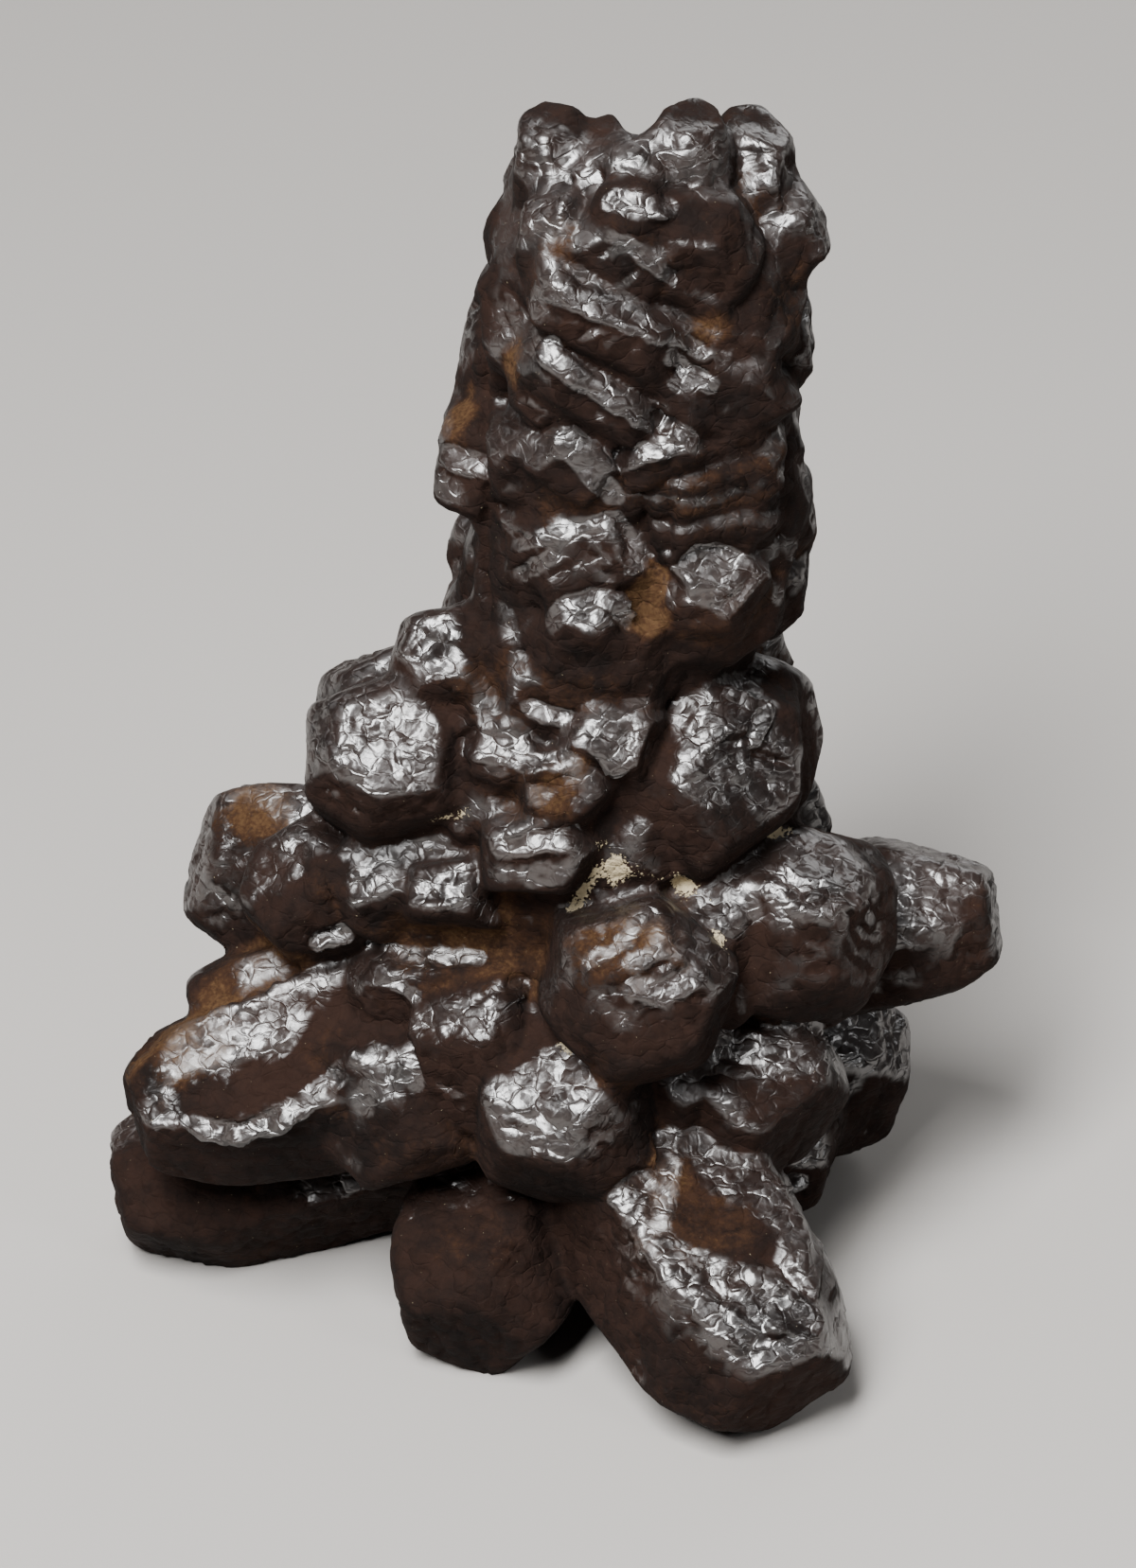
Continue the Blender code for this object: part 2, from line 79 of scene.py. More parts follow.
# Root and tip in millimetres: +X right, +Y back, +Z up. The tip is the middle of the outer end face.
STALK = [Crystal(*row) for row in [
    ("stalk_core_low", (-0.5, 0, 22), (1.6, 0.5, 46), 13, 12, 10, 6),
    ("stalk_core_high", (1.2, 0.5, 40), (3.2, 0.8, 60.5), 13.5, 11, 20, 6),
    ("crown_left", (0, 1, 50), (-2.1, 0.2, 63.3), 5.0, 7, 0, 6, 0.25),
    ("crown_left_inner", (1, 0.5, 52), (0.6, -0.6, 62.8), 3.2, 6, 0, 5),
    ("crown_middle", (3.4, 0.5, 50), (4.9, -0.8, 64.0), 5.4, 6.6, 10, 7, 0.2),
    ("crown_middle_front", (4, 0, 55), (5.0, -4.9, 60.6), 4.4, 4.6, -8, 5),
    ("crown_right", (5, 2.5, 48), (8.2, 2.2, 62.2), 4.4, 6.6, -10, 5),
    ("crown_peak_front", (2.2, 1, 57), (2.4, -3.0, 62.8), 3.8, 3.8, 0, 5),
    ("crown_step_front", (2.0, 0, 57), (1.9, -5.3, 61.5), 3.8, 2.8, 8, 5),
    ("crown_shoulder", (5, 1, 55), (11.1, 0.4, 57.8), 5.4, 4.8, 0, 5),
    ("crown_left_flank", (1, 0.5, 56), (-3.5, -0.8, 58.8), 7.5, 6.5, 0, 5),
    ("upper_front", (1.8, 0, 58.4), (1.6, -6.2, 58.8), 5.2, 3.8, 40, 4),
    ("upper_front_right", (4, 1, 57), (5.8, -5.3, 58.2), 5.2, 6.2, 16, 5),
    ("upper_front_left", (0, 0, 58), (-2.2, -5.0, 59.0), 3.4, 5.0, 0, 5),
    ("upper_right", (5, 1, 54), (9.4, -3.0, 55.2), 5.4, 5.6, 14, 5),
    ("upper_right_side", (4, 1, 51), (10.9, 0.2, 51.6), 5.4, 4.4, 0, 5),
    ("upper_right_low", (4, 1, 47), (10.2, 0.2, 47.4), 6.0, 4.8, 0, 6),
    ("upper_left", (0, 1, 53), (-3.9, -4.0, 54.4), 5.0, 6.6, -10, 5),
    ("left_flank", (0, 2, 50), (-5.2, 1.5, 52.4), 8, 8.0, 10, 5),
    ("left_flank_low", (0, 2, 45), (-5.6, 0.6, 49.4), 6, 5.6, 0, 6),
    ("ledge_front", (0.7, 0, 55.6), (0.6, -7.4, 55.6), 8.4, 3.6, 30, 4),
    ("ledge_right", (5, 0, 53), (7.4, -5.6, 53.6), 5.4, 3.8, 24, 4),
    ("ledge_rough_face", (1, 0, 53), (1.0, -6.7, 53.4), 5.6, 3.4, 22, 5),
    ("middle_left", (0, 0, 51), (-2.3, -6.4, 51.6), 3.8, 3.9, 0, 6),
    ("middle_ledge", (0.2, 0, 52), (0.2, -7.6, 51.9), 7.2, 2.8, 35, 4),
    ("middle_right", (5, 0, 51), (6.6, -6.2, 51.1), 7.6, 3.8, 10, 5),
    ("middle_front", (1, 0, 49.4), (1.0, -6.5, 49.7), 4.8, 3.4, 24, 5),
    ("middle_climbing_ledge", (3, 0, 49), (3.6, -7.2, 48.9), 4.6, 2.6, -28, 4),
    ("middle_gap_floor", (2.2, 0, 47.4), (2.4, -6.2, 47.6), 4.2, 4.0, 0, 5),
    ("layer_high", (4, 0, 48), (6.6, -6.1, 48.3), 7.2, 2.3, -6, 4),
    ("layer_middle", (4, 0, 47), (6.8, -6.5, 46.8), 7.2, 2.1, -3, 4),
    ("layer_low", (4, 0, 45), (6.6, -6.6, 45.2), 6.4, 2.4, 3, 4),
    ("middle_step", (-0.6, 0, 48), (-0.8, -7.5, 48.2), 4.2, 3.4, 42, 4),
    ("middle_step_floor", (0, 0, 46.4), (0.2, -6.9, 46.3), 5.4, 4.6, 6, 5),
    ("middle_left_low", (-1, 0, 47), (-3.2, -6.2, 47.2), 4.4, 5.0, -12, 5),
    ("left_bulge", (-2, 3, 44.5), (-6.0, -3.6, 46.2), 4.9, 5.8, 0, 5),
    ("right_bulge", (4, 1, 41.5), (11.2, 0.6, 42.3), 6.0, 4.8, 0, 6),
    ("right_bulge_top", (4, 1, 44), (10.2, -1.8, 44.8), 4.8, 5.0, 0, 6),
    ("right_side_low", (4, 1, 38.5), (11.0, 0.2, 38.2), 6.4, 5.6, 0, 5),
    ("right_flank_front", (4, 1, 42), (9.6, -3.6, 43.4), 5.2, 6.0, 0, 5),
    ("lower_front", (-0.4, 0, 42.6), (-0.3, -7.8, 43.4), 5.6, 5.0, -24, 4),
    ("lower_groove_floor", (3.2, 0, 43), (3.2, -6.2, 43.6), 3.4, 7.0, 0, 4),
    ("lower_right_ledge", (4, 0, 43.8), (6.4, -6.8, 44.0), 6.4, 2.6, 0, 5),
    ("lower_front_lip", (0, -2, 36.5), (0.0, -8.5, 41.2), 4.0, 3.2, 0, 6),
    ("lower_front_lump", (0.4, 0, 38.4), (0.6, -8.5, 38.2), 6.8, 4.6, 0, 6),
    ("lower_ochre_pocket", (1.6, 0, 40.6), (2.2, -7.0, 40.6), 4.6, 5.4, 0, 5),
    ("lower_left_lump", (-1.4, 0, 42), (-2.7, -6.4, 42.2), 3.6, 4.2, 8, 5),
    ("lower_right", (4.6, -1, 37.4), (6.3, -7.2, 42.4), 5.6, 5.8, 6, 5),
    ("lower_right_lump", (4, 0, 39.4), (7.4, -6.4, 38.8), 6.8, 5.4, 0, 6),
    ("lower_left_strip", (0, 0, 38), (-5.9, 0.5, 39.6), 6, 8, 0, 5),
    ("lower_left_front", (-1, 0, 40), (-4.3, -5.0, 41.0), 4.6, 11, 0, 4),
    ("waist_front", (0.4, 0, 36), (0.6, -8.2, 36.0), 7, 4.6, 0, 6),
    ("waist_front_left", (-1, 0, 35.4), (-2.2, -8.2, 35.6), 4.8, 4.6, 12, 5),
    ("waist_hollow_left", (-1.6, 0, 35.6), (-4.4, -6.6, 36.0), 5.4, 5.8, -8, 5),
    ("waist_right", (2, 0, 37), (7.4, -3.4, 36), 8, 6.6, 0, 6),
]]

WAIST = [Crystal(*row) for row in [
    ("left_upper_knob", (-5.6, 0, 32), (-7.5, -5.9, 37.6), 5.2, 5.4, 10, 6),
    ("left_upper_back", (-1, 1, 33), (-7.4, 0.5, 35.4), 6.2, 5.6, 0, 6),
    ("left_mid_knob", (-10.2, 0, 26), (-9.7, -8.2, 33.6), 8.0, 8.0, 10, 6),
    ("left_mid_back", (-1, 2, 27), (-13.2, -1.5, 30.4), 8, 8.0, 0, 6),
    ("left_mid_under", (-3, 0, 26), (-11.6, -5.8, 27.4), 5.6, 4.8, 0, 6),
    ("right_mid_knob", (1, 2, 25), (7.8, -7.8, 31.8), 10.4, 9.2, -28, 5),
    ("right_mid_side", (0, 2, 27), (10.8, -2.6, 30.6), 9, 8.6, 0, 6),
    ("waist_knob_left", (-2, 0, 28.6), (-4.4, -8.9, 33.4), 4.2, 4.6, 0, 5),
    ("waist_knob_middle", (-0.6, 0, 27.4), (-1.3, -10.4, 32.2), 5.2, 4.6, 0, 5),
    ("waist_knob_low", (-2, 0, 26), (-2.6, -11.6, 28.8), 6.4, 5.0, -6, 5),
    ("waist_knob_right", (0.4, 0, 29.4), (1.2, -9.4, 34.6), 5.2, 4.2, 24, 4),
    ("waist_knob_under", (0, 0, 26), (3.8, -9.6, 28.2), 6, 5.4, 0, 6),
    ("waist_knob_low_left", (-2, 0, 28), (-6.4, -8.4, 30.6), 5.2, 5.6, 10, 5),
    ("waist_hollow_low", (-1, 0, 29.6), (-4.2, -8.8, 30.8), 4.8, 4.4, 0, 5),
    ("left_upper_under", (-3, 0, 33), (-6.6, -6.8, 34.6), 4.6, 4.6, 0, 5),
]]

BASE = [Crystal(*row) for row in [
    ("body", (0, 1, 2), (0, 0, 34), 22, 20, 0, 6),
    ("left_arm", (-4, -4, 14.6), (-23.2, -9.3, 11.8), 12.2, 12.4, -14, 5, 0.4),
    ("left_arm_ridge", (-3, -3.4, 16.4), (-20.4, -5.6, 14.6), 8.6, 8.6, -14, 5, 0.1),
    ("left_plateau", (-0.6, -5.6, 17.4), (-12.2, -6.0, 16.8), 8.8, 9.4, 4, 4),
    ("left_plateau_front", (-3.6, -3, 16.6), (-6.1, -13.4, 16.4), 8.2, 9.0, 8, 5, 0.1),
    ("left_arm_front", (-7, -4, 12.4), (-12.2, -11.9, 13.8), 10.4, 8.8, 12, 5),
    ("left_foot", (-4, -1, 6.5), (-24.8, -4.6, 3.4), 9.6, 9.0, 0, 5, 0.1),
    ("left_low_knob", (-9, 1, 16), (-15.4, -6.6, 24.8), 7.0, 7.2, -12, 6),
    ("left_low_knob_inner", (-8, -1, 18.6), (-11.2, -8.0, 26.0), 5.0, 5.2, 10, 5),
    ("left_back_knob", (-2, 2, 15), (-20.2, 1.2, 20.8), 9, 10.0, 0, 6),
    ("left_step", (-4, -2, 20), (-7.4, -10.0, 26.2), 4.8, 3.6, -10, 4),
    ("front_foot", (-2, -2, 8), (-6.4, -16.4, 3.0), 9.5, 8.6, 0, 5),
    ("right_front_foot", (-1, -2, 12.4), (9.8, -21.8, 3.3), 13.0, 12.0, 14, 5, 0.2),
    ("right_front_foot_face", (7.6, -14.5, 2.5), (9.1, -19.4, 8.7), 7.0, 6.0, 10, 5),
    ("right_front_foot_rib", (3.2, -10, 7), (3.7, -14.8, 11.6), 3.0, 5.2, 0, 5),
    ("front_small", (0.5, -6, 19), (-2.2, -15.8, 12.2), 8.4, 8.0, 14, 5),
    ("front_knob", (1, -3, 19), (3.0, -15.8, 22.6), 8.9, 9.0, 15, 6),
    ("right_arm", (1.6, -1, 20.6), (14.3, -8.7, 22.2), 11.4, 10.8, 10, 6, 0.12),
    ("right_arm_root", (1, -1, 20.6), (8.2, -10.8, 22.4), 6.6, 8.8, 12, 6),
    ("right_arm_shoulder", (2, -1, 23), (8.6, -7.8, 25.0), 7.4, 5.6, 10, 6),
    ("right_back_arm", (2, 2, 14), (21.3, 0.4, 17.5), 10.4, 10.4, 0, 6, 0.25),
    ("right_low", (2.6, -3.2, 15.6), (10.8, -11.2, 11.8), 10.2, 8.2, 0, 5),
    ("right_low_inner", (1, -3, 16), (6.4, -12.0, 13.4), 6.6, 7.0, 0, 5),
    ("right_low_face", (6, -4.5, 8.6), (9.4, -9.8, 15.6), 7.0, 6.0, -10, 5),
    ("right_back_foot", (2, 2, 8.6), (16.6, 4.2, 4.5), 8, 9.9, 0, 6),
    ("right_under", (2, 0, 6), (13, -2.6, 4), 7, 8, 0, 6),
    ("back_foot", (0, 2, 8), (-3, 18.4, 2.6), 11, 8, 0, 5),
    ("back_left_foot", (-2, 2, 8), (-15, 13, 3.0), 9, 8.5, 0, 5),
    ("back_right_foot", (2, 2, 9), (12.4, 14.6, 3.2), 9, 9.6, 0, 6),
]]

# The back, which the front hides: rings of crystals by height, reach from the stalk's middle, size and count
BACK_RINGS = [
    (13, 16, 9.0, 5),
    (20, 14, 8.4, 5),
    (27, 11.5, 7.6, 5),
    (33, 9.6, 6.6, 4),
    (38.5, 8.6, 6.0, 4),
    (43.5, 8.2, 5.6, 4),
    (48.5, 8.0, 5.4, 4),
    (53.5, 7.8, 5.2, 4),
    (58, 6.8, 4.8, 3),
]

# The back spreads over this turn either side of straight back, and each ring is turned on from the last
BACK_SPREAD = math.radians(68)
RING_TURN = 0.45

# How far the back's crystals stray: turn, share of the reach, height, share of the size, roll and sides
TURN_STRAY = 0.06
REACH_SHARES = (0.92, 1.08)
HEIGHT_STRAY = 1.8
SIZE_SHARES = (0.75, 1.35)
ROLL_STRAY = 30
SIDE_COUNTS = (5, 7)

# The underside: short crystals round the middle, between the feet
UNDER_COUNT = 7
UNDER_REACH = 8.5
UNDER_SIZE = 7.6
UNDER_ROOT = 12


def stalk_middle(z):
    """Plan position of the stalk's middle at a height, which leans to the right as it climbs."""
    return np.array([np.interp(z, [20, 60], [0, 2.8]), 1.0])


def back_crystals():
    """Crystals in rings over the back, each with a root low in the stalk's middle and a tip at its reach."""
    dice = np.random.default_rng(11)
    crystals = []
    for row, (height, reach, size, count) in enumerate(BACK_RINGS):
        for place in range(count):
            share = (place + 0.5 + RING_TURN * (row % 2) - RING_TURN / 2) / count * 2 - 1
            turn = share * BACK_SPREAD + dice.normal(0, TURN_STRAY)
            out = np.array([math.sin(turn), math.cos(turn)]) * reach * dice.uniform(*REACH_SHARES)
            tip_height = height + dice.uniform(-HEIGHT_STRAY, HEIGHT_STRAY)
            middle = stalk_middle(tip_height)
            width, depth = size * dice.uniform(*SIZE_SHARES, 2)
            crystals.append(Crystal(
                f"back_{row}_{place}",
                (*middle, tip_height - size / 2),
                (*(middle + out), tip_height),
                width, depth, dice.uniform(-ROLL_STRAY, ROLL_STRAY), int(dice.integers(*SIDE_COUNTS)),
            ))
    return crystals


def under_crystals():
    """Crystals that point down and out round the middle of the underside, clear of the ground."""
    crystals = []
    for place in range(UNDER_COUNT):
        turn = 2 * math.pi * place / UNDER_COUNT
        reach = UNDER_REACH * (1 - 0.35 * (place % 2))
        tip = (reach * math.cos(turn), reach * math.sin(turn), 1.6 + place % 3)
        root = (tip[0] / 2, tip[1] / 2, UNDER_ROOT)
        crystals.append(Crystal(f"under_{place}", root, tip, UNDER_SIZE, UNDER_SIZE, 0, 5))
    return crystals


CRYSTALS = STALK + WAIST + BASE + back_crystals() + under_crystals()


def unit(vectors, least=0.0):
    """Each row over its length. The least keeps a row with no length from dividing by nothing."""
    return vectors / (np.linalg.norm(vectors, axis=1, keepdims=True) + least)


def look_directions():
    """Unit directions on a grid: polar angle by row, from the tip's pole on, and turn by column."""
    polar = np.linspace(0, math.pi, POLE_STEPS)[:, None]
    turn = np.linspace(0, 2 * math.pi, RING_STEPS, endpoint=False)[None, :]
    along = np.cos(polar) * np.ones_like(turn)
    return np.stack([along, np.sin(polar) * np.cos(turn), np.sin(polar) * np.sin(turn)], axis=-1)


def face_normals(crystal):
    """Each face's normal over its stand-off: ends, sides, and a bevel from each side to the tip's end."""
    dice = np.random.default_rng(zlib.crc32(crystal.name.encode()))
    sides = crystal.sides
    turn = 2 * math.pi * np.arange(sides) / sides
    side = np.stack([np.zeros(sides), np.cos(turn), np.sin(turn)], axis=-1)
    bevel = np.stack([np.full(sides, 0.9), np.cos(turn), np.sin(turn)], axis=-1)
    normals = np.concatenate([[[1, 0, 0], [-1, 0, 0]], side, bevel])
    normals[2:] += dice.normal(0, FACE_JITTER, normals[2:].shape)
    stand_off = np.concatenate([np.ones(2 + sides), np.full(sides, BEVEL_STAND_OFF)])
    return unit(normals) / stand_off[:, None]


def crystal_axes(crystal):
    """Rows are the directions of the crystal's length, width and height, in the stone's frame."""
    along = np.array(crystal.tip, float) - np.array(crystal.root, float)
    along /= np.linalg.norm(along)
    up = np.array([0.0, 0.0, 1.0]) if abs(along[2]) < 0.9 else np.array([0.0, 1.0, 0.0])
    across = np.cross(along, up)
    across /= np.linalg.norm(across)
    rise = np.cross(across, along)
    turn = math.radians(crystal.roll)
    return np.array([
        along,
        math.cos(turn) * across + math.sin(turn) * rise,
        math.cos(turn) * rise - math.sin(turn) * across,
    ])


def crystal_frame(crystal):
    """Middle, half sizes and axes of a crystal."""
    root, tip = np.array(crystal.root, float), np.array(crystal.tip, float)
    half = np.array([np.linalg.norm(tip - root), crystal.width, crystal.height]) / 2
    return (root + tip) / 2, half, crystal_axes(crystal)


def crystal_points(crystal):
    """Surface points at distance (sum over faces of max(0, d . face)^s)^(-1/s) in each direction d.

    They are then sized and placed.
    """
    directions = look_directions()
    reach = np.maximum(0, directions @ face_normals(crystal).T) ** EDGE_SHARPNESS
    shape = directions * (reach.sum(axis=-1, keepdims=True) ** (-1 / EDGE_SHARPNESS))
    shape[..., 1:] *= 1 - crystal.taper * (shape[..., :1] + 1) / 2
    middle, half, axes = crystal_frame(crystal)
    return (shape * half) @ axes + middle


def grid_faces():
    """Quads between the rings, with a triangle fan at each pole."""
    rings = POLE_STEPS - 2
    column = np.arange(RING_STEPS)
    after = np.roll(column, -1)
    ring = np.arange(rings - 1)[:, None] * RING_STEPS + 1
    quads = np.stack([ring + column, ring + RING_STEPS + column, ring + RING_STEPS + after, ring + after], -1)
    last = 1 + (rings - 1) * RING_STEPS
    tip_fan = np.stack([np.zeros_like(column), column + 1, after + 1], -1)
    root_fan = np.stack([np.full_like(column, last + RING_STEPS), last + after, last + column], -1)
    return quads.reshape(-1, 4), np.concatenate([tip_fan, root_fan])


def shell_points(crystal):
    """A crystal's grid as a list of points, each pole once."""
    grid = crystal_points(crystal)
    return np.concatenate([grid[0, :1], grid[1:-1].reshape(-1, 3), grid[-1, :1]])


def plan_middle(points):
    """The middle of the stone's plan, which the frame puts at x = y = 0."""
    middle = (points.min(axis=0) + points.max(axis=0)) / 2
    middle[2] = 0
    return middle


def placed(name, data):
    """A new object of the data, in the scene."""
    thing = bpy.data.objects.new(name, data)
    bpy.context.scene.collection.objects.link(thing)
    return thing


def finished_mesh(mesh, modifiers):
    """A copy of the mesh with modifiers applied. Each is its kind and its settings."""
    piece = placed("work", mesh)
    for kind, settings in modifiers:
        modifier = piece.modifiers.new(kind.lower(), kind)
        for name, value in settings.items():
            setattr(modifier, name, value)
    graph = bpy.context.evaluated_depsgraph_get()
    result = bpy.data.meshes.new_from_object(piece.evaluated_get(graph))
    bpy.data.objects.remove(piece)
    return result


def fused_skin(shells):
    """All the crystals' shells fused by cells of one size, then eased."""
    quads, fans = grid_faces()
    faces = []
    for number in range(len(shells)):
        start = number * len(shells[0])
        faces += (quads + start).tolist() + (fans + start).tolist()
    mesh = bpy.data.meshes.new("shells")
    mesh.from_pydata(np.concatenate(shells).tolist(), [], faces)
    return finished_mesh(mesh, [
        ("REMESH", {"mode": "VOXEL", "voxel_size": SKIN_CELL}),
        ("SMOOTH", {"iterations": EASING_PASSES}),
    ])


def rows_of(items, field):
    """One three-number field of all of a mesh's items, a row for each."""
    numbers = np.empty(len(items) * 3)
    items.foreach_get(field, numbers)
    return numbers.reshape(-1, 3)


def normals_at(mesh, moved):
    """The normals that the mesh has with its points moved."""
    trial = mesh.copy()
    trial.vertices.foreach_set("co", moved.ravel())
    trial.update()
    normals = rows_of(trial.vertex_normals, "vector")
    bpy.data.meshes.remove(trial)
    return normals


def lattice_gradients(cell, seed):
    """A steady pseudo-random vector for each whole-number cell, mixed from its three numbers and a seed."""
    numbers = cell.astype(np.uint32)
    mixed = numbers[:, 0] * np.uint32(374761393) + numbers[:, 1] * np.uint32(668265263)
    mixed += numbers[:, 2] * np.uint32(2246822519) + np.uint32(seed * 3266489917 % 2**32)
    mixed = (mixed ^ (mixed >> np.uint32(15))) * np.uint32(2246822519)
    mixed = (mixed ^ (mixed >> np.uint32(13))) * np.uint32(3266489917)
    mixed ^= mixed >> np.uint32(16)
    parts = [(mixed >> np.uint32(shift)) & np.uint32(1023) for shift in (0, 10, 20)]
    return np.stack(parts, axis=-1) / 511.5 - 1


def noise(points, seed):
    """Gradient noise from about -1 to 1: at each lattice corner a slope, blended by a fifth-power fade."""
    cell = np.floor(points).astype(np.int64)
    inside = points - cell
    fade = inside ** 3 * (inside * (inside * 6 - 15) + 10)
    total = np.zeros(len(points))
    for corner in itertools.product((0, 1), repeat=3):
        weight = np.prod(np.where(corner, fade, 1 - fade), axis=-1)
        total += weight * ((inside - corner) * lattice_gradients(cell + corner, seed)).sum(axis=-1)
    return np.clip(total * 1.6, -1, 1)


def cells(points, seed):
    """How far the nearest two of a scatter of points are, one point in each whole-number cell."""
    home = np.floor(points).astype(np.int64)
    nearest, second = np.full((2, len(points)), 9.0)
    for step in itertools.product((-1, 0, 1), repeat=3):
        cell = home + step
        distance = np.linalg.norm(points - cell - 0.5 - 0.42 * lattice_gradients(cell, seed), axis=1)
        second = np.minimum(second, np.maximum(distance, nearest))
        nearest = np.minimum(nearest, distance)
    return nearest, second


def valleys(points, seed):
    """Narrow valleys where the noise changes sign: 1 in the bottom, falling to 0 on the plateaus between."""
    return 1 - smooth_step(0, 0.22, np.abs(noise(points, seed)))


def smooth_step(low, high, value):
    """The value carried from 0 to 1 as it goes from low to high, eased at both ends."""
    share = np.clip((value - low) / (high - low), 0, 1)
    return share * share * (3 - 2 * share)


def stairs(level):
    """A level turned to whole steps, each climbed within the last share of its tread."""
    whole = np.floor(level)
    return whole + smooth_step(1 - RISER_SHARE, 1, level - whole)


def waves(points, table, seed, total=0):
    """Noises added up, each with its wavelength and height. Seeds only have to differ from each other."""
    for number, (length, height) in enumerate(table):
        total = total + height * noise(points / length, seed + number)
    return total


# How far the next crystal is looked for, and a length too small to matter
NEAR = 3.0
TINY = 1e-9

Where = namedtuple("Where", "owner flat crease edge across along")


def where_on_stone(points):
    """Each point's crystal, its flat, how far the next crystal and flat are, and its place on the flat.

    A crystal's level is (sum over faces of max(0, p . face)^s)^(1/s), which is 1 on its surface. The crystal
    with the lowest level owns the point, and the face with the highest share of it is the point's flat.
    """
    count = len(points)
    nearest, second = np.full((2, count), 1e9)
    owner, flat = np.zeros((2, count), int)
    edge, across, along = np.zeros((3, count))
    for number, crystal in enumerate(CRYSTALS):
        middle, half, axes = crystal_frame(crystal)
        close = np.flatnonzero(np.linalg.norm(points - middle, axis=1) < np.linalg.norm(half) * 1.1 + NEAR)
        place = (points[close] - middle) @ axes.T
        scaled = place / half
        scaled[:, 1:] /= 1 - crystal.taper * (np.clip(scaled[:, :1], -1, 1) + 1) / 2
        faces = face_normals(crystal)
        share = np.maximum(0, scaled @ faces.T)
        level = (share ** EDGE_SHARPNESS).sum(axis=1) ** (1 / EDGE_SHARPNESS)
        gap = (level - 1) * half[1:].mean()
        order = np.partition(share, -2, axis=1)
        face = share.argmax(axis=1)
        normal = unit(faces[face] / half)
        sideways = unit(np.cross(normal, np.where(face[:, None] < 2, [[0, 1, 0]], [[1, 0, 0]])))
        lengthways = np.cross(normal, sideways)
        wins = gap < nearest[close]
        loses = ~wins & (gap < second[close])
        second[close[loses]] = gap[loses]
        winners = close[wins]
        second[winners] = nearest[winners]
        nearest[winners] = gap[wins]
        owner[winners] = number
        flat[winners] = face[wins]
        edge[winners] = (order[wins, -1] - order[wins, -2]) * half[1:].mean()
        across[winners] = (place * sideways).sum(axis=1)[wins]
        along[winners] = (place * lengthways).sum(axis=1)[wins]
    crease = np.clip(second - nearest, 0, NEAR)
    return Where(owner, flat, crease, edge, across, along)


# Swells of the whole skin: wavelength and height of each
SWELLS = [(5.2, 0.24), (2.4, 0.07)]

# Lumps: the size of one, and their height on the base and on the stalk, which starts at STALK_FOOT
LUMP_SIZE = 2.0
LUMP_HEIGHTS = (0.03, 0.07)
STALK_FOOT = (30, 38)

# How much the stalk's creases are filled, and how far from a crease the filling reaches
CREASE_FILL = 0.20
FILL_REACH = 0.8

# Growth steps on the flats: a tread's width, a riser's height and share of it, and their wander in treads
TREAD = 1.5
RISER = 0.18
RISER_SHARE = 0.3
STEP_WANDER = [(3.4, 1.3), (1.1, 0.35)]

# Crumples on the flats: wavelength round the crystal, wavelength along it, and depth
CRUMPLES = [(2.3, 1.3, 0.10), (1.5, 0.8, 0.06)]

# The relief dies out this close to a flat's edge and the next crystal, and moves no point past its limit
CALM_EDGE = 0.55
CALM_CREASE = 0.9
RELIEF_LIMIT = 0.8

# The wavering edges of the spots below
SPOT_WAVER = [(2.2, 0.35), (0.8, 0.2)]

# Rust and caught sand: pixels of the picture, a radius in millimetres, and a strength
Spot = namedtuple("Spot", "name path radius strength")
RUST_SPOTS = [Spot(*row) for row in [
    ("left_arm_end", [(185, 1090)], 5.0, 0.9),
    ("left_arm_end_top", [(270, 1015)], 4.5, 0.7),
    ("left_shoulder", [(450, 1000)], 4.0, 0.55),
    ("left_shoulder_root", [(550, 1000)], 4.0, 0.5),
    ("front_knob", [(655, 1000)], 3.6, 0.8),
    ("right_front_foot", [(740, 1285)], 4.0, 0.6),
    ("ochre", [(678, 642)], 1.7, 1.3),
    ("ochre_top", [(690, 612)], 1.2, 0.9),
    ("upper_seam", [(545, 385)], 1.6, 0.9),
    ("left_bulge", [(485, 442)], 1.8, 0.9),
    ("left_back_knob", [(280, 855)], 4.0, 0.6),
    ("waist", [(590, 830)], 2.2, 0.8),
    ("crown", [(592, 250)], 1.8, 0.5),
    ("upper_right", [(748, 350)], 1.4, 0.7),
]]
SAND_SPOTS = [Spot(*row) for row in [
    ("knob_crease", [(598, 1000), (600, 968), (622, 938), (668, 920), (712, 932), (748, 956)], 0.55, 1.0),
    ("knob_corner", [(640, 925), (655, 915)], 0.9, 1.0),
    ("knob_corner_right", [(700, 925), (730, 935)], 0.8, 1.0),
    ("knob_crease_right", [(757, 968), (760, 1000), (768, 1030)], 0.5, 0.9),
    ("arm_crease", [(738, 918), (758, 898), (785, 884), (835, 880)], 0.55, 1.0),
    ("arm_crease_end", [(840, 880), (868, 868)], 0.4, 0.6),
    ("knob_crease_left", [(590, 1040), (592, 1080), (597, 1112)], 0.4, 0.8),
    ("small_crease", [(592, 1120), (575, 1150), (555, 1180)], 0.4, 0.7),
    ("left_knob_crease", [(430, 880), (455, 868), (492, 862)], 0.35, 0.6),
    ("waist_crease", [(560, 905), (600, 900), (640, 892)], 0.35, 0.5),
]]

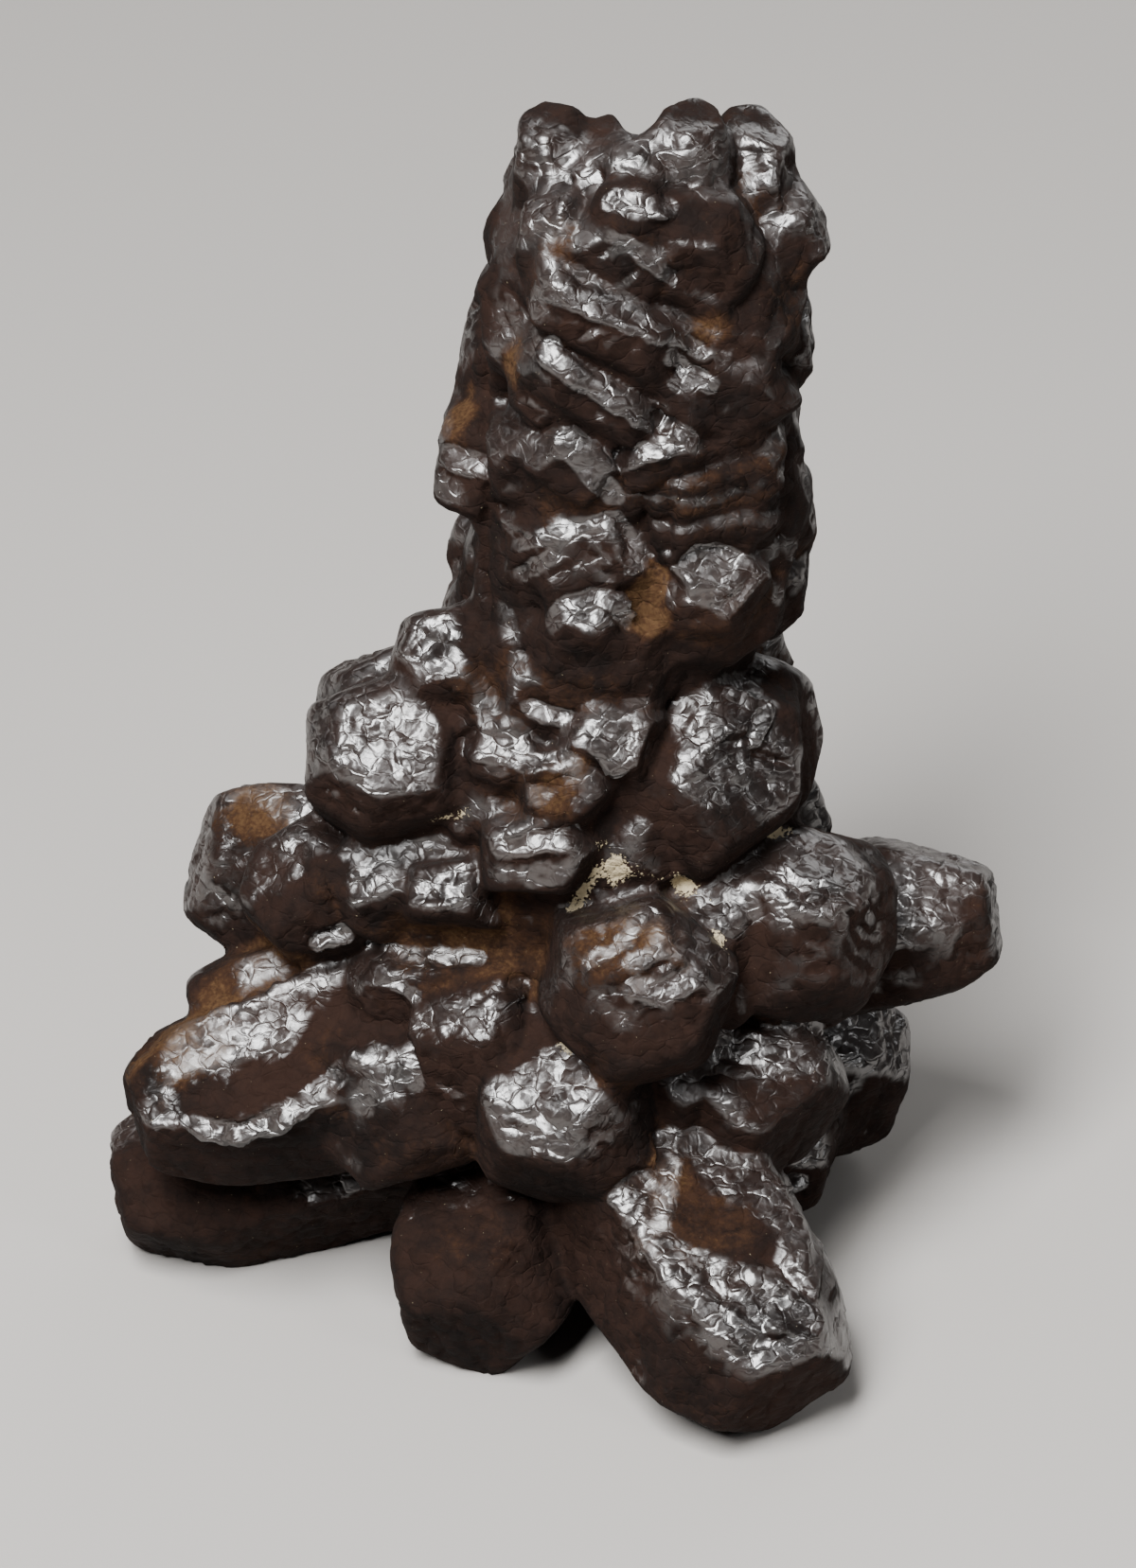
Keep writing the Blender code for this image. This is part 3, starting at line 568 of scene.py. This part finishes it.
# Where the stone is dull, as it is low on the feet and in places that nothing rubs
DULL_SPOTS = [Spot(*row) for row in [
    ("front_foot", [(430, 1340), (520, 1330), (570, 1400)], 6.5, 1.0),
    ("left_foot", [(110, 1260), (230, 1300), (350, 1290)], 4.6, 1.0),
    ("stalk_left_strip", [(523, 180), (508, 330), (500, 460), (508, 600), (512, 690)], 1.5, 0.8),
    ("arm_rusty_edge", [(135, 1150), (190, 1050), (270, 985), (350, 950)], 2.6, 0.9),
    ("arm_middle", [(205, 1162), (260, 1150), (320, 1130), (350, 1095), (400, 1085)], 2.0, 0.9),
    ("arm_root", [(455, 1040), (520, 1010), (580, 1010)], 2.4, 0.7),
    ("foot_hollow", [(705, 1240), (745, 1290), (790, 1310)], 2.3, 0.9),
    ("foot_side", [(600, 1290), (660, 1385), (710, 1450), (780, 1495)], 3.0, 1.0),
    ("knob_face", [(640, 1015), (690, 1050), (725, 1080)], 2.8, 0.65),
    ("knob_low", [(610, 1090), (680, 1130), (760, 1095)], 3.2, 0.9),
    ("waist_dark", [(600, 850), (640, 870), (660, 830)], 1.6, 0.5),
    ("lower_front", [(580, 690), (640, 700), (700, 690)], 2.4, 0.7),
    ("stalk_right", [(840, 250), (835, 450), (830, 600)], 1.6, 0.5),
    ("left_back_knob", [(250, 880), (270, 930)], 2.6, 0.6),
    ("right_knob_side", [(835, 730), (858, 790), (845, 860)], 2.4, 0.9),
    ("right_knob_low", [(700, 800), (720, 860), (790, 880)], 1.8, 0.7),
    ("left_knob_side", [(474, 750), (480, 840)], 1.1, 0.6),
    ("right_arm_low", [(800, 1010), (860, 1050), (930, 1020)], 2.2, 0.6),
    ("crown_dark", [(650, 215), (760, 240), (790, 330)], 2.0, 0.6),
    ("layer_dark", [(760, 420), (780, 500)], 2.2, 0.5),
    ("small_low", [(650, 1120), (690, 1170), (640, 1250), (570, 1240)], 1.9, 0.8),
    ("arm_front_low", [(390, 1215), (460, 1185), (510, 1230)], 2.6, 0.9),
    ("plateau_front", [(450, 1110), (510, 1125), (560, 1090)], 1.8, 0.8),
    ("arm_side", [(640, 1300), (590, 1250)], 2.0, 0.7),
    ("right_low_side", [(800, 1170), (880, 1160), (900, 1230)], 2.0, 0.7),
    ("arm_upper", [(260, 1072), (310, 1058), (350, 1055)], 0.9, 0.6),
    ("right_arm_top", [(880, 880), (930, 900), (945, 980)], 2.0, 0.7),
    ("right_back_arm_end", [(1040, 960), (1030, 1020)], 1.8, 0.7),
    ("crown_tops", [(575, 115), (640, 135), (700, 112), (800, 125)], 1.3, 0.7),
    ("lower_dark", [(620, 600), (560, 640), (560, 540)], 1.4, 0.5),
]]

# Marks on the skin along pixels of the picture, with width and height in millimetres. A groove is a ridge
# turned in. A ledge stands up on the left of its path and slopes off there.
Mark = namedtuple("Mark", "name kind path width height")
MARKS = [Mark(*row) for row in [
    ("layer_top_streak", "ridge", [(668, 478), (700, 462), (722, 455)], 0.30, 0.30),
    ("hook_groove", "groove", [(540, 408), (533, 430), (549, 450), (571, 454), (594, 441)], 0.30, 0.25),
    ("hook_groove_inner", "groove", [(551, 412), (549, 430), (560, 441), (576, 440)], 0.25, 0.18),
    ("ochre_groove", "groove", [(683, 528), (684, 560), (691, 590)], 0.40, 0.35),
    ("ochre_groove_right", "groove", [(708, 527), (707, 560), (706, 590)], 0.35, 0.30),
    ("waist_fan_step", "ledge", [(603, 804), (572, 801), (552, 810)], 0.9, 0.55),
    ("waist_low_streak_under", "ridge", [(538, 903), (570, 900), (598, 897)], 0.30, 0.20),
    ("right_knob_ledge", "ledge", [(748, 787), (796, 776), (811, 751)], 1.4, 0.40),
    ("right_knob_crack", "groove", [(790, 791), (820, 801), (840, 812)], 0.22, 0.45),
    ("stalk_left_groove", "groove",
     [(514, 250), (505, 330), (512, 420), (516, 500), (511, 600), (516, 690)], 0.35, 0.35),
    ("arm_rib_left", "ridge", [(385, 1106), (366, 1135), (350, 1160)], 0.60, 0.45),
    ("arm_root_ledge", "ledge", [(358, 950), (352, 925), (362, 898)], 1.2, 0.30),
    ("plateau_top_step", "ledge", [(480, 953), (455, 950), (434, 952)], 1.0, 0.30),
    ("knob_groove", "groove", [(668, 1040), (690, 1030), (716, 1010)], 0.40, 0.30),
    ("right_arm_hook", "ridge", [(806, 922), (787, 937), (790, 955), (806, 962)], 0.45, 0.35),
    ("right_arm_ledge", "ledge", [(918, 953), (879, 933), (846, 929)], 1.4, 0.40),
    ("foot_rim", "ridge", [(742, 1380), (778, 1414), (808, 1402), (844, 1415), (867, 1402)], 0.45, 0.50),
    ("foot_fan_groove", "groove", [(770, 1340), (786, 1365), (806, 1396)], 0.60, 0.50),
    ("foot_fan_groove_right", "groove", [(806, 1318), (832, 1345), (858, 1376)], 0.50, 0.45),
    ("foot_fan_groove_left", "groove", [(745, 1330), (760, 1370), (775, 1400)], 0.45, 0.35),
    ("foot_fan_edge", "ridge", [(864, 1300), (866, 1345), (862, 1372)], 0.45, 0.30),
    ("foot_upper_ledge", "ledge", [(685, 1300), (700, 1250), (694, 1200)], 1.2, 0.35),
]]

# A ledge's riser reaches this share of its height either side of the path. Marks wander, die out over a share
# at each end, and go no deeper or higher than their limits.
RISER_REACH = 0.35
MARK_WANDER = [(1.6, 0.16), (0.6, 0.064)]
MARK_END = 0.12
MARK_LIMITS = (-0.7, 0.8)

# Growth faces: narrow flats that all look one way, so that they shine together, along pixels of the picture.
# Each covers the skin out to FACE_CORE of its width and fades over FACE_FADE, with a wandering edge.
FACING = (-0.13, -0.70, 0.70)
FACE_CORE = 0.3
FACE_FADE = 0.5
FACE_WANDER = 0.22
FACE_LIMIT = 0.7
Face = namedtuple("Face", "name path width")
FACES = [Face(*row) for row in [
    ("crown_left_edge", [(577, 137), (566, 165)], 0.5),
    ("crown_left_chip", [(600, 168), (626, 192)], 0.9),
    ("crown_middle_chip", [(664, 166), (698, 184)], 0.7),
    ("crown_middle_step", [(652, 214), (680, 220), (706, 218)], 0.8),
    ("crown_right_chip", [(704, 156), (728, 188)], 0.8),
    ("crown_streak", [(649, 249), (672, 264), (706, 292)], 0.35),
    ("stalk_long", [(582, 292), (636, 320), (690, 345), (735, 367)], 0.7),
    ("stalk_long_beside", [(578, 310), (630, 330), (700, 357)], 0.35),
    ("stalk_right", [(709, 374), (726, 391), (750, 408)], 0.5),
    ("middle_long", [(578, 370), (612, 400), (650, 424), (690, 445), (724, 464)], 1.1),
    ("layer_top", [(658, 484), (690, 474), (730, 467)], 0.7),
    ("middle_steep", [(598, 470), (620, 492), (644, 520)], 1.1),
    ("left_bulge", [(478, 484), (512, 494)], 1.2),
    ("lower_roof", [(550, 576), (600, 559), (649, 545), (668, 569)], 0.4),
    ("lower_roof_low", [(553, 605), (584, 588)], 0.6),
    ("lip", [(584, 658), (600, 637), (628, 628), (652, 638), (661, 656)], 0.7),
    ("lower_right", [(742, 600), (764, 602)], 3.2),
    ("right_knob_high", [(772, 735), (806, 752), (796, 780)], 0.8),
    ("right_knob_low", [(752, 770), (728, 800), (724, 822), (756, 840)], 1.0),
    ("waist_left", [(498, 788), (546, 794)], 1.6),
    ("waist_arch", [(553, 808), (580, 801), (607, 805)], 0.45),
    ("waist_fan", [(564, 750), (610, 766), (654, 810)], 0.9),
    ("waist_low", [(534, 895), (570, 890), (607, 884)], 1.0),
    ("arm_high", [(226, 1075), (270, 1060), (300, 1042), (338, 1030)], 0.5),
    ("arm_middle", [(224, 1092), (262, 1088), (299, 1097)], 0.35),
    ("arm_low", [(190, 1131), (225, 1120), (274, 1107)], 0.5),
    ("arm_lower", [(205, 1190), (251, 1197), (283, 1188), (316, 1171), (360, 1133)], 0.8),
    ("arm_rib", [(384, 1166), (398, 1138), (393, 1112)], 1.2),
    ("arm_rib_right", [(430, 1112), (438, 1142)], 1.1),
    ("plateau_left", [(372, 1027), (410, 1038), (438, 1054)], 0.4),
    ("plateau_back", [(340, 992), (362, 984)], 0.8),
    ("plateau_streak", [(395, 999), (420, 1004), (446, 1015)], 0.4),
    ("plateau_right", [(462, 1065), (491, 1074), (520, 1064), (551, 1041)], 0.7),
    ("plateau_top", [(466, 1012), (502, 1012)], 0.9),
    ("knob_high", [(622, 1016), (655, 998), (686, 968)], 0.45),
    ("knob_middle", [(665, 1019), (694, 1010), (720, 997)], 0.4),
    ("knob_low", [(672, 1046), (702, 1052), (734, 1030)], 1.1),
    ("small_left", [(598, 1114), (614, 1150), (600, 1182)], 1.5),
    ("right_arm", [(815, 918), (850, 935), (896, 946)], 0.6),
    ("right_arm_hook", [(800, 925), (786, 942), (796, 962)], 0.6),
    ("low_right", [(765, 1100), (810, 1112), (858, 1098)], 2.6),
    ("foot_left", [(655, 1266), (682, 1249)], 1.4),
    ("foot_top", [(702, 1203), (708, 1236), (696, 1284)], 1.3),
    ("foot_fan_left", [(744, 1378), (784, 1408)], 1.5),
    ("foot_fan_middle", [(784, 1370), (802, 1394)], 0.8),
    ("foot_fan_right", [(820, 1366), (856, 1392)], 1.7),
    ("foot_chip", [(826, 1254), (846, 1250)], 0.5),
]]


def flat_dice(place, seed):
    """Three steady numbers from -1 to 1 for each flat of each crystal."""
    return lattice_gradients(np.stack([place.owner, place.flat, place.owner * 0], axis=-1), seed)


def relief(points, place):
    """How far each point moves out by swells, growth steps, lumps, filled creases and crumples.

    A growth step's height is the stairs of a level less the level itself, so a flat keeps its own plane.
    """
    height = waves(points, SWELLS, 10)
    calm = smooth_step(0.05, CALM_CREASE, place.crease) * smooth_step(0.02, CALM_EDGE, place.edge)
    heading, strength, offset = flat_dice(place, 3).T
    heading = heading * math.pi / 2.5
    level = (place.across * np.sin(heading) + place.along * np.cos(heading)) / TREAD
    level += waves(points, STEP_WANDER, 20, offset * 5)
    patches = smooth_step(-0.35, 0.25, noise(points / 4.0, 22) + 0.5 * strength)
    height += RISER * patches * calm * (stairs(level) - level + 0.5)
    nearest, second = cells(points / LUMP_SIZE + 0.25 * noise(points / 1.7, 50)[:, None], 51)
    lumps = smooth_step(0, 0.45, second - nearest) - 0.6 * nearest
    stalk = smooth_step(*STALK_FOOT, points[:, 2])
    height += (LUMP_HEIGHTS[0] + stalk * (LUMP_HEIGHTS[1] - LUMP_HEIGHTS[0])) * (lumps - 0.4)
    height += CREASE_FILL * stalk * (1 - smooth_step(0, FILL_REACH, place.crease))
    flat_place = np.stack([place.across, place.along, place.owner * 7.3], axis=-1)
    for number, (round_it, along_it, depth) in enumerate(CRUMPLES):
        folds = valleys(flat_place / (round_it, along_it, 1), 30 + number)
        height -= depth * calm * folds * (1 + 0.5 * offset)
    return np.clip(height, -RELIEF_LIMIT, RELIEF_LIMIT)


def view_rays(pixels):
    """The camera's place and the unit directions through pixels of the picture, in millimetres."""
    back = np.array([0, -math.cos(VIEW_RISE), math.sin(VIEW_RISE)])
    up = np.array([0, math.sin(VIEW_RISE), math.cos(VIEW_RISE)])
    right = np.array([1, 0, 0])
    shift = (np.array(pixels, float) - np.array(PICTURE_SIZE) / 2) / (PIXELS_PER_MM * VIEW_DISTANCE)
    rays = shift[:, :1] * right - shift[:, 1:] * up - back
    return np.array(AIM) + back * VIEW_DISTANCE, unit(rays)


def on_skin(skin, pixels):
    """The skin's points and normals that show at pixels of the picture."""
    eye, rays = view_rays(pixels)
    hits = [skin.ray_cast(Vector(eye), Vector(ray)) for ray in rays]
    return np.array([hit[1] for hit in hits if hit[0]]), np.array([hit[2] for hit in hits if hit[0]])


def nearness(points, skin, spots, waver):
    """The strength of the nearest spots at each point, fading out over a wavering radius."""
    total = np.zeros(len(points))
    for spot in spots:
        line = on_skin(skin, traced(spot.path))[0]
        reach = spot.radius * 2 + np.ptp(line)
        near = np.flatnonzero(np.linalg.norm(points - line.mean(axis=0), axis=1) < reach)
        distance = np.linalg.norm(points[near][:, None] - line, axis=2).min(axis=1) / spot.radius
        share = 1 - smooth_step(0.35, 1, distance + waver[near])
        total[near] = np.maximum(total[near], spot.strength * share)
    return total


def traced(path, step=5):
    """A path's pixels, filled in so that they are about a step apart."""
    path = np.array(path, float)
    length = np.concatenate([[0], np.cumsum(np.linalg.norm(np.diff(path, axis=0), axis=1))])
    stops = np.linspace(0, length[-1], int(length[-1] / step) + 2)
    return np.stack([np.interp(stops, length, path[:, axis]) for axis in (0, 1)], axis=-1)


def beside(points, skin, path, reach):
    """The points near a path, each one's offset from it, and the path's heading, normal and share there.

    The path is traced on the skin, and each point takes its nearest traced point.
    """
    line, normals = on_skin(skin, traced(path))
    low, high = line.min(axis=0) - reach, line.max(axis=0) + reach
    close = np.flatnonzero(np.all((points > low) & (points < high), axis=1))
    offset = points[close][:, None] - line[None]
    nearest = np.linalg.norm(offset, axis=2).argmin(axis=1)
    heading = unit(np.gradient(line, axis=0)[nearest], TINY)
    return close, offset[np.arange(len(close)), nearest], heading, normals[nearest], nearest / (len(line) - 1)


def across_path(offset, heading, normal):
    """How far to the left of its path each point is, and how far off the skin there."""
    leftward = unit(np.cross(normal, heading), TINY)
    return (offset * leftward).sum(axis=1), np.abs((offset * normal).sum(axis=1))


def mark_heights(points, skin):
    """What the marks add to the skin."""
    total = np.zeros(len(points))
    wander = waves(points, MARK_WANDER, 60)
    rough = 1 + 0.5 * noise(points / 1.1, 62)
    for mark in MARKS:
        close, offset, heading, normal, share = beside(points, skin, mark.path, 2.2 * mark.width + 0.5)
        side, depth = across_path(offset, heading, normal)
        side += wander[close]
        ends = smooth_step(0, MARK_END, share) * smooth_step(0, MARK_END, 1 - share)
        ends *= 1 - smooth_step(1.2, 2.2, depth)
        if mark.kind == "ledge":
            reach = RISER_REACH * mark.height
            shape = np.clip((side + reach) / (2 * reach), 0, 1)
            shape *= 1 - smooth_step(reach + 0.1 * mark.width, reach + mark.width, side)
        else:
            shape = np.maximum(0, 1 - np.abs(side) / (1.4 * mark.width)) ** 1.3
        rise = -mark.height if mark.kind == "groove" else mark.height
        total[close] += rise * shape * ends * rough[close]
    return np.clip(total, *MARK_LIMITS)


def face_heights(points, normals, skin):
    """How far each point moves to lie on a growth face, and how much the face covers it.

    A face is the plane through its path that looks as nearly along FACING as the path's heading lets it. A
    point moves along its normal n by -(offset . facing) / (n . facing).
    """
    height, cover = np.zeros((2, len(points)))
    wander = FACE_WANDER * noise(points / 0.8, 63)
    for face in FACES:
        close, offset, heading, normal, share = beside(points, skin, face.path, face.width)
        side, depth = across_path(offset, heading, normal)
        facing = unit(np.array(FACING) - heading * (heading @ np.array(FACING))[:, None])
        lean = (offset * facing).sum(axis=1) / np.maximum(0.4, (normals[close] * facing).sum(axis=1))
        along = np.linalg.norm(offset, axis=1)
        edge = np.maximum(np.abs(side), along) + wander[close]
        shape = 1 - smooth_step(FACE_CORE * face.width, FACE_CORE * face.width + FACE_FADE, edge)
        shape *= 1 - smooth_step(0.8, 1.6, depth)
        wins = shape > cover[close]
        height[close[wins]] = -lean[wins]
        cover[close[wins]] = shape[wins]
    return np.clip(height, -FACE_LIMIT, FACE_LIMIT), cover


def finish_masks(points, normals, skin, place, height, cover):
    """What the finish reads at each point of the skin. Cover is the growth faces' share of it."""
    crease = (1 - smooth_step(0.05, 0.9, place.crease)) * (1 - cover)
    hollow = smooth_step(0.1, -0.35, height)
    tone = 0.5 + 0.5 * flat_dice(place, 5)[:, 0] * smooth_step(0, 0.8, place.edge)
    waver = waves(points, SPOT_WAVER, 40)
    rust = nearness(points, skin, RUST_SPOTS, waver)
    rust = np.clip(rust + 0.35 * smooth_step(0.1, 0.6, noise(points / 5.5, 42)) + 0.25 * crease, 0, 1)
    sand = nearness(points, skin, SAND_SPOTS, waver) * (1 - smooth_step(0.1, 0.7, place.crease))
    under = smooth_step(0.35, -0.1, normals[:, 2] + 0.12 * noise(points / 1.5, 43))
    dull = np.maximum(under, nearness(points, skin, DULL_SPOTS, waver)) * (1 - cover)
    return dict(crease=crease, hollow=hollow, dull=dull, shine=cover, tone=tone, rust=rust, sand=sand)


def stone_piece():
    shells = [shell_points(crystal) for crystal in CRYSTALS]
    middle = plan_middle(np.concatenate(shells))
    mesh = fused_skin(shells)
    points, normals = rows_of(mesh.vertices, "co"), rows_of(mesh.vertex_normals, "vector")
    place = where_on_stone(points)
    skin = placed("fused", mesh)
    bpy.context.view_layer.update()
    face, cover = face_heights(points, normals, skin)
    height = (relief(points, place) + mark_heights(points, skin)) * (1 - cover) + face * cover
    moved = points + normals * height[:, None]
    masks = finish_masks(points, normals_at(mesh, moved), skin, place, height, cover)
    bpy.data.objects.remove(skin)
    moved -= middle
    moved[:, 2] = np.maximum(moved[:, 2], 0)
    mesh.vertices.foreach_set("co", moved.ravel() * MM)
    for name, values in masks.items():
        mesh.attributes.new(name, "FLOAT", "POINT").data.foreach_set("value", values)
    mesh.update()
    mesh.calc_loop_triangles()
    kept = min(1, SKIN_TRIANGLES / len(mesh.loop_triangles))
    skin = finished_mesh(mesh, [("DECIMATE", {"ratio": kept})])
    skin.name = "concretion_skin"
    skin.shade_smooth()
    return placed("concretion_skin", skin), middle


# The middle of a texture's colours, which run from 0 to 1
MIDDLE = (0.5, 0.5, 0.5)


class Value:
    """A node's output in a material. Python's arithmetic on it adds Math nodes."""

    def __init__(self, finish, socket):
        self.finish = finish
        self.socket = socket

    def math(self, operation, first, second=0.0):
        return self.finish.add("Math", {0: first, 1: second}, operation=operation)

    def __add__(self, other):
        return self.math("ADD", self, other)

    def __sub__(self, other):
        return self.math("SUBTRACT", self, other)

    def __rsub__(self, other):
        return self.math("SUBTRACT", other, self)

    def __mul__(self, other):
        return self.math("MULTIPLY", self, other)

    __radd__ = __add__
    __rmul__ = __mul__

    def also(self, output):
        """Another output of the same node."""
        return Value(self.finish, self.socket.node.outputs[output])

    def vector(self, operation, other):
        return self.finish.add("VectorMath", {0: self, 1: other}, operation=operation)

    def smooth(self, low, high):
        """The value carried from 0 to 1 as it goes from low to high, eased at both ends."""
        inputs = {"Value": self, "From Min": low, "From Max": high}
        return self.finish.add("MapRange", inputs, interpolation_type="SMOOTHSTEP")


class Finish:
    """A material with a Principled surface."""

    def __init__(self, name):
        self.material = bpy.data.materials.new(name)
        self.material.use_nodes = True
        self.tree = self.material.node_tree
        self.surface = self.tree.nodes["Principled BSDF"]
        self.place = self.add("TexCoord", output="Object")

    def add(self, kind, inputs=(), output=0, **settings):
        node = self.tree.nodes.new("ShaderNode" + kind)
        for name, value in settings.items():
            setattr(node, name, value)
        for name, value in dict(inputs).items():
            self.feed(node.inputs[name], value)
        return Value(self, node.outputs[output])

    def feed(self, socket, value):
        if isinstance(value, Value):
            self.tree.links.new(value.socket, socket)
        else:
            socket.default_value = value

    def mask(self, name):
        return self.add("Attribute", output="Fac", attribute_name=name)

    def colour(self, share, low, high):
        """Colour low where share is 0 and high where it is 1."""
        return self.add("Mix", {0: share, 6: low, 7: high}, output=2, data_type="RGBA")

    def noise(self, size, detail, roughness=0.5, output=0):
        """Cloudy noise from 0 to 1. Size is in millimetres."""
        inputs = {"Vector": self.place, "Scale": 1 / (size * MM), "Detail": detail, "Roughness": roughness}
        return self.add("TexNoise", inputs, output)

    def warped(self, size, amount):
        """The place, shifted by up to half the amount by noise of a size. Both are in millimetres."""
        shift = self.noise(size, 1.0, output="Color").vector("SUBTRACT", MIDDLE)
        shift = self.add("VectorMath", {0: shift, "Scale": amount * MM}, operation="SCALE")
        return self.place.vector("ADD", shift)


# Colours of the stone
BLACK_BROWN = (0.0055, 0.0033, 0.0027, 1)
DEEP_BROWN = (0.018, 0.0085, 0.0058, 1)
RUST_BROWN = (0.036, 0.016, 0.0072, 1)
OCHRE = (0.075, 0.041, 0.018, 1)
CREAM_SAND = (0.40, 0.33, 0.21, 1)

# How the surface shines: the stone's index of refraction, and the roughness of matt film and sand
STONE_IOR = 2.05
MATT = 0.9
FILM_SHINE = 0.12

# Chips in the bump: the size of one, how steeply it leans, and the groove round it, in millimetres
CHIPS = [(1.1, 0.30, 0.022), (0.5, 0.20, 0)]


def iron_oxide_finish():
    """Near-black brown with a metallic gloss broken by chips, rusty in hollows and sandy in creases.

    A matt film of the same colour covers dull places, and the Mix Shader's share says how much.
    """
    finish = Finish("iron_oxide")
    names = ("crease", "hollow", "tone", "rust", "sand", "dull", "shine")
    crease, hollow, tone, rust, sand, dull, shine = (finish.mask(name) for name in names)
    mottle = finish.noise(0.9, 3.0, 0.6)
    speck = finish.noise(0.22, 2.0, 0.6)
    brown = (tone * 0.5 + mottle * 0.8 + hollow * 0.25).smooth(0.3, 1.05)
    colour = finish.colour(brown, BLACK_BROWN, DEEP_BROWN)
    rusty = (rust * 1.0 + mottle * 0.9 + speck * 0.6).smooth(1.05, 1.8)
    colour = finish.colour(rusty, colour, RUST_BROWN)
    ochre = (rust * 1.0 + speck * 1.1 + mottle * 0.4).smooth(1.45, 2.0)
    colour = finish.colour(ochre * 0.8, colour, OCHRE)
    sandy = (sand * 0.9 + finish.noise(0.16, 1.0, 0.5) * 1.5).smooth(1.15, 1.35)
    colour = finish.colour(sandy, colour, CREAM_SAND)
    finish.feed(finish.surface.inputs["Base Color"], colour)
    gloss = 0.24 + 0.06 * tone + 0.14 * mottle + 0.20 * rusty + 0.12 * crease
    finish.feed(finish.surface.inputs["Roughness"], finish.add("Mix", {0: sandy, 2: gloss, 3: MATT}))
    finish.surface.inputs["IOR"].default_value = STONE_IOR
    bent = finish.warped(1.0, 0.9).vector("MULTIPLY", (1.0, 1.0, 1.7))
    heights = 0.06 * finish.noise(1.5, 2.0, 0.5) + 0.008 * finish.noise(0.16, 1.0, 0.5)
    for size, slope, groove in CHIPS:
        cell = {"Vector": bent, "Scale": 1 / (size * MM)}
        chip = finish.add("TexVoronoi", cell, output="Position")
        lean = chip.also("Color").vector("SUBTRACT", MIDDLE)
        away = bent.vector("SUBTRACT", chip)
        tilt = away.vector("DOT_PRODUCT", lean).also("Value")
        heights = heights + tilt * (slope / MM)
        if groove:
            gap = finish.add("TexVoronoi", cell, feature="DISTANCE_TO_EDGE")
            heights = heights + gap.smooth(0.0, 0.12) * groove
    heights = heights + sandy * speck * 0.10
    bump = finish.add("Bump", {"Height": heights, "Distance": MM, "Strength": 1.0}, output="Normal")
    finish.feed(finish.surface.inputs["Normal"], bump)
    glossy = Value(finish, finish.surface.outputs["BSDF"])
    film = finish.add("BsdfPrincipled", {
        "Base Color": colour, "Roughness": MATT, "Specular IOR Level": FILM_SHINE, "Normal": bump,
    }, output="BSDF")
    share = (dull * 0.9 + crease * 0.4 + rusty * 0.25 + mottle * 0.45 - shine * 0.35).smooth(0.25, 0.95)
    mixed = finish.add("MixShader", {0: share, 1: glossy, 2: film}, output="Shader")
    finish.feed(finish.tree.nodes["Material Output"].inputs["Surface"], mixed)
    return finish.material


def plain_finish(name, colour, roughness):
    finish = Finish(name)
    finish.surface.inputs["Base Color"].default_value = colour
    finish.surface.inputs["Roughness"].default_value = roughness
    return finish.material


# Each light's name, place, size and power, in metres and watts. All aim at one place.
LIGHTS = [
    ("key", (-0.10, -0.20, 0.36), (0.13, 0.24), 4.8),
    ("fill", (-0.20, 0.10, 0.45), (0.50, 0.50), 0.5),
    ("back", (0.16, 0.34, 0.24), (0.30, 0.30), 0.6),
    ("side", (0.245, -0.255, 0.27), (0.10, 0.10), 0.3),
]
LIGHT_AIM = (0, 0, 0.03)
FLOOR_CORNERS = [(-2, -2, 0), (2, -2, 0), (2, 2, 0), (-2, 2, 0)]
FLOOR_COLOUR = (0.42, 0.40, 0.38, 1)
SURROUND = (0.03, 0.03, 0.031, 1)


def aim_at(thing, target):
    thing.rotation_euler = (Vector(target) - thing.location).to_track_quat("-Z", "Y").to_euler()


def make_camera(middle):
    """The camera looks along +Y and down. Its lens fits the picture's height at the aim's distance."""
    target = Vector((np.array(AIM) - middle) * MM)
    data = bpy.data.cameras.new("camera")
    data.sensor_width = SENSOR
    data.lens = SENSOR * VIEW_DISTANCE / (PICTURE_SIZE[1] / PIXELS_PER_MM)
    data.clip_start = 0.01
    camera = placed("camera", data)
    camera.location = target + VIEW_DISTANCE * MM * Vector((0, -math.cos(VIEW_RISE), math.sin(VIEW_RISE)))
    aim_at(camera, target)
    bpy.context.scene.camera = camera


def softbox(name, place, size, power):
    """A rectangular light."""
    data = bpy.data.lights.new(name, "AREA")
    data.shape = "RECTANGLE"
    data.size, data.size_y = size
    data.energy = power
    light = placed(name, data)
    light.location = place
    aim_at(light, LIGHT_AIM)


def studio():
    """A pale floor, a tall light overhead in front with weak ones round it, and an even dark surround."""
    floor_mesh = bpy.data.meshes.new("floor")
    floor_mesh.from_pydata(FLOOR_CORNERS, [], [(0, 1, 2, 3)])
    floor = placed("floor", floor_mesh)
    floor_mesh.materials.append(plain_finish("floor", FLOOR_COLOUR, MATT))
    for light in LIGHTS:
        softbox(*light)
    world = bpy.data.worlds.new("surround")
    world.use_nodes = True
    world.node_tree.nodes["Background"].inputs["Color"].default_value = SURROUND
    bpy.context.scene.world = world


stone, plan_shift = stone_piece()
stone.data.materials.append(iron_oxide_finish())
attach(stone, "root")
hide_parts(NODE)
make_camera(plan_shift)
studio()
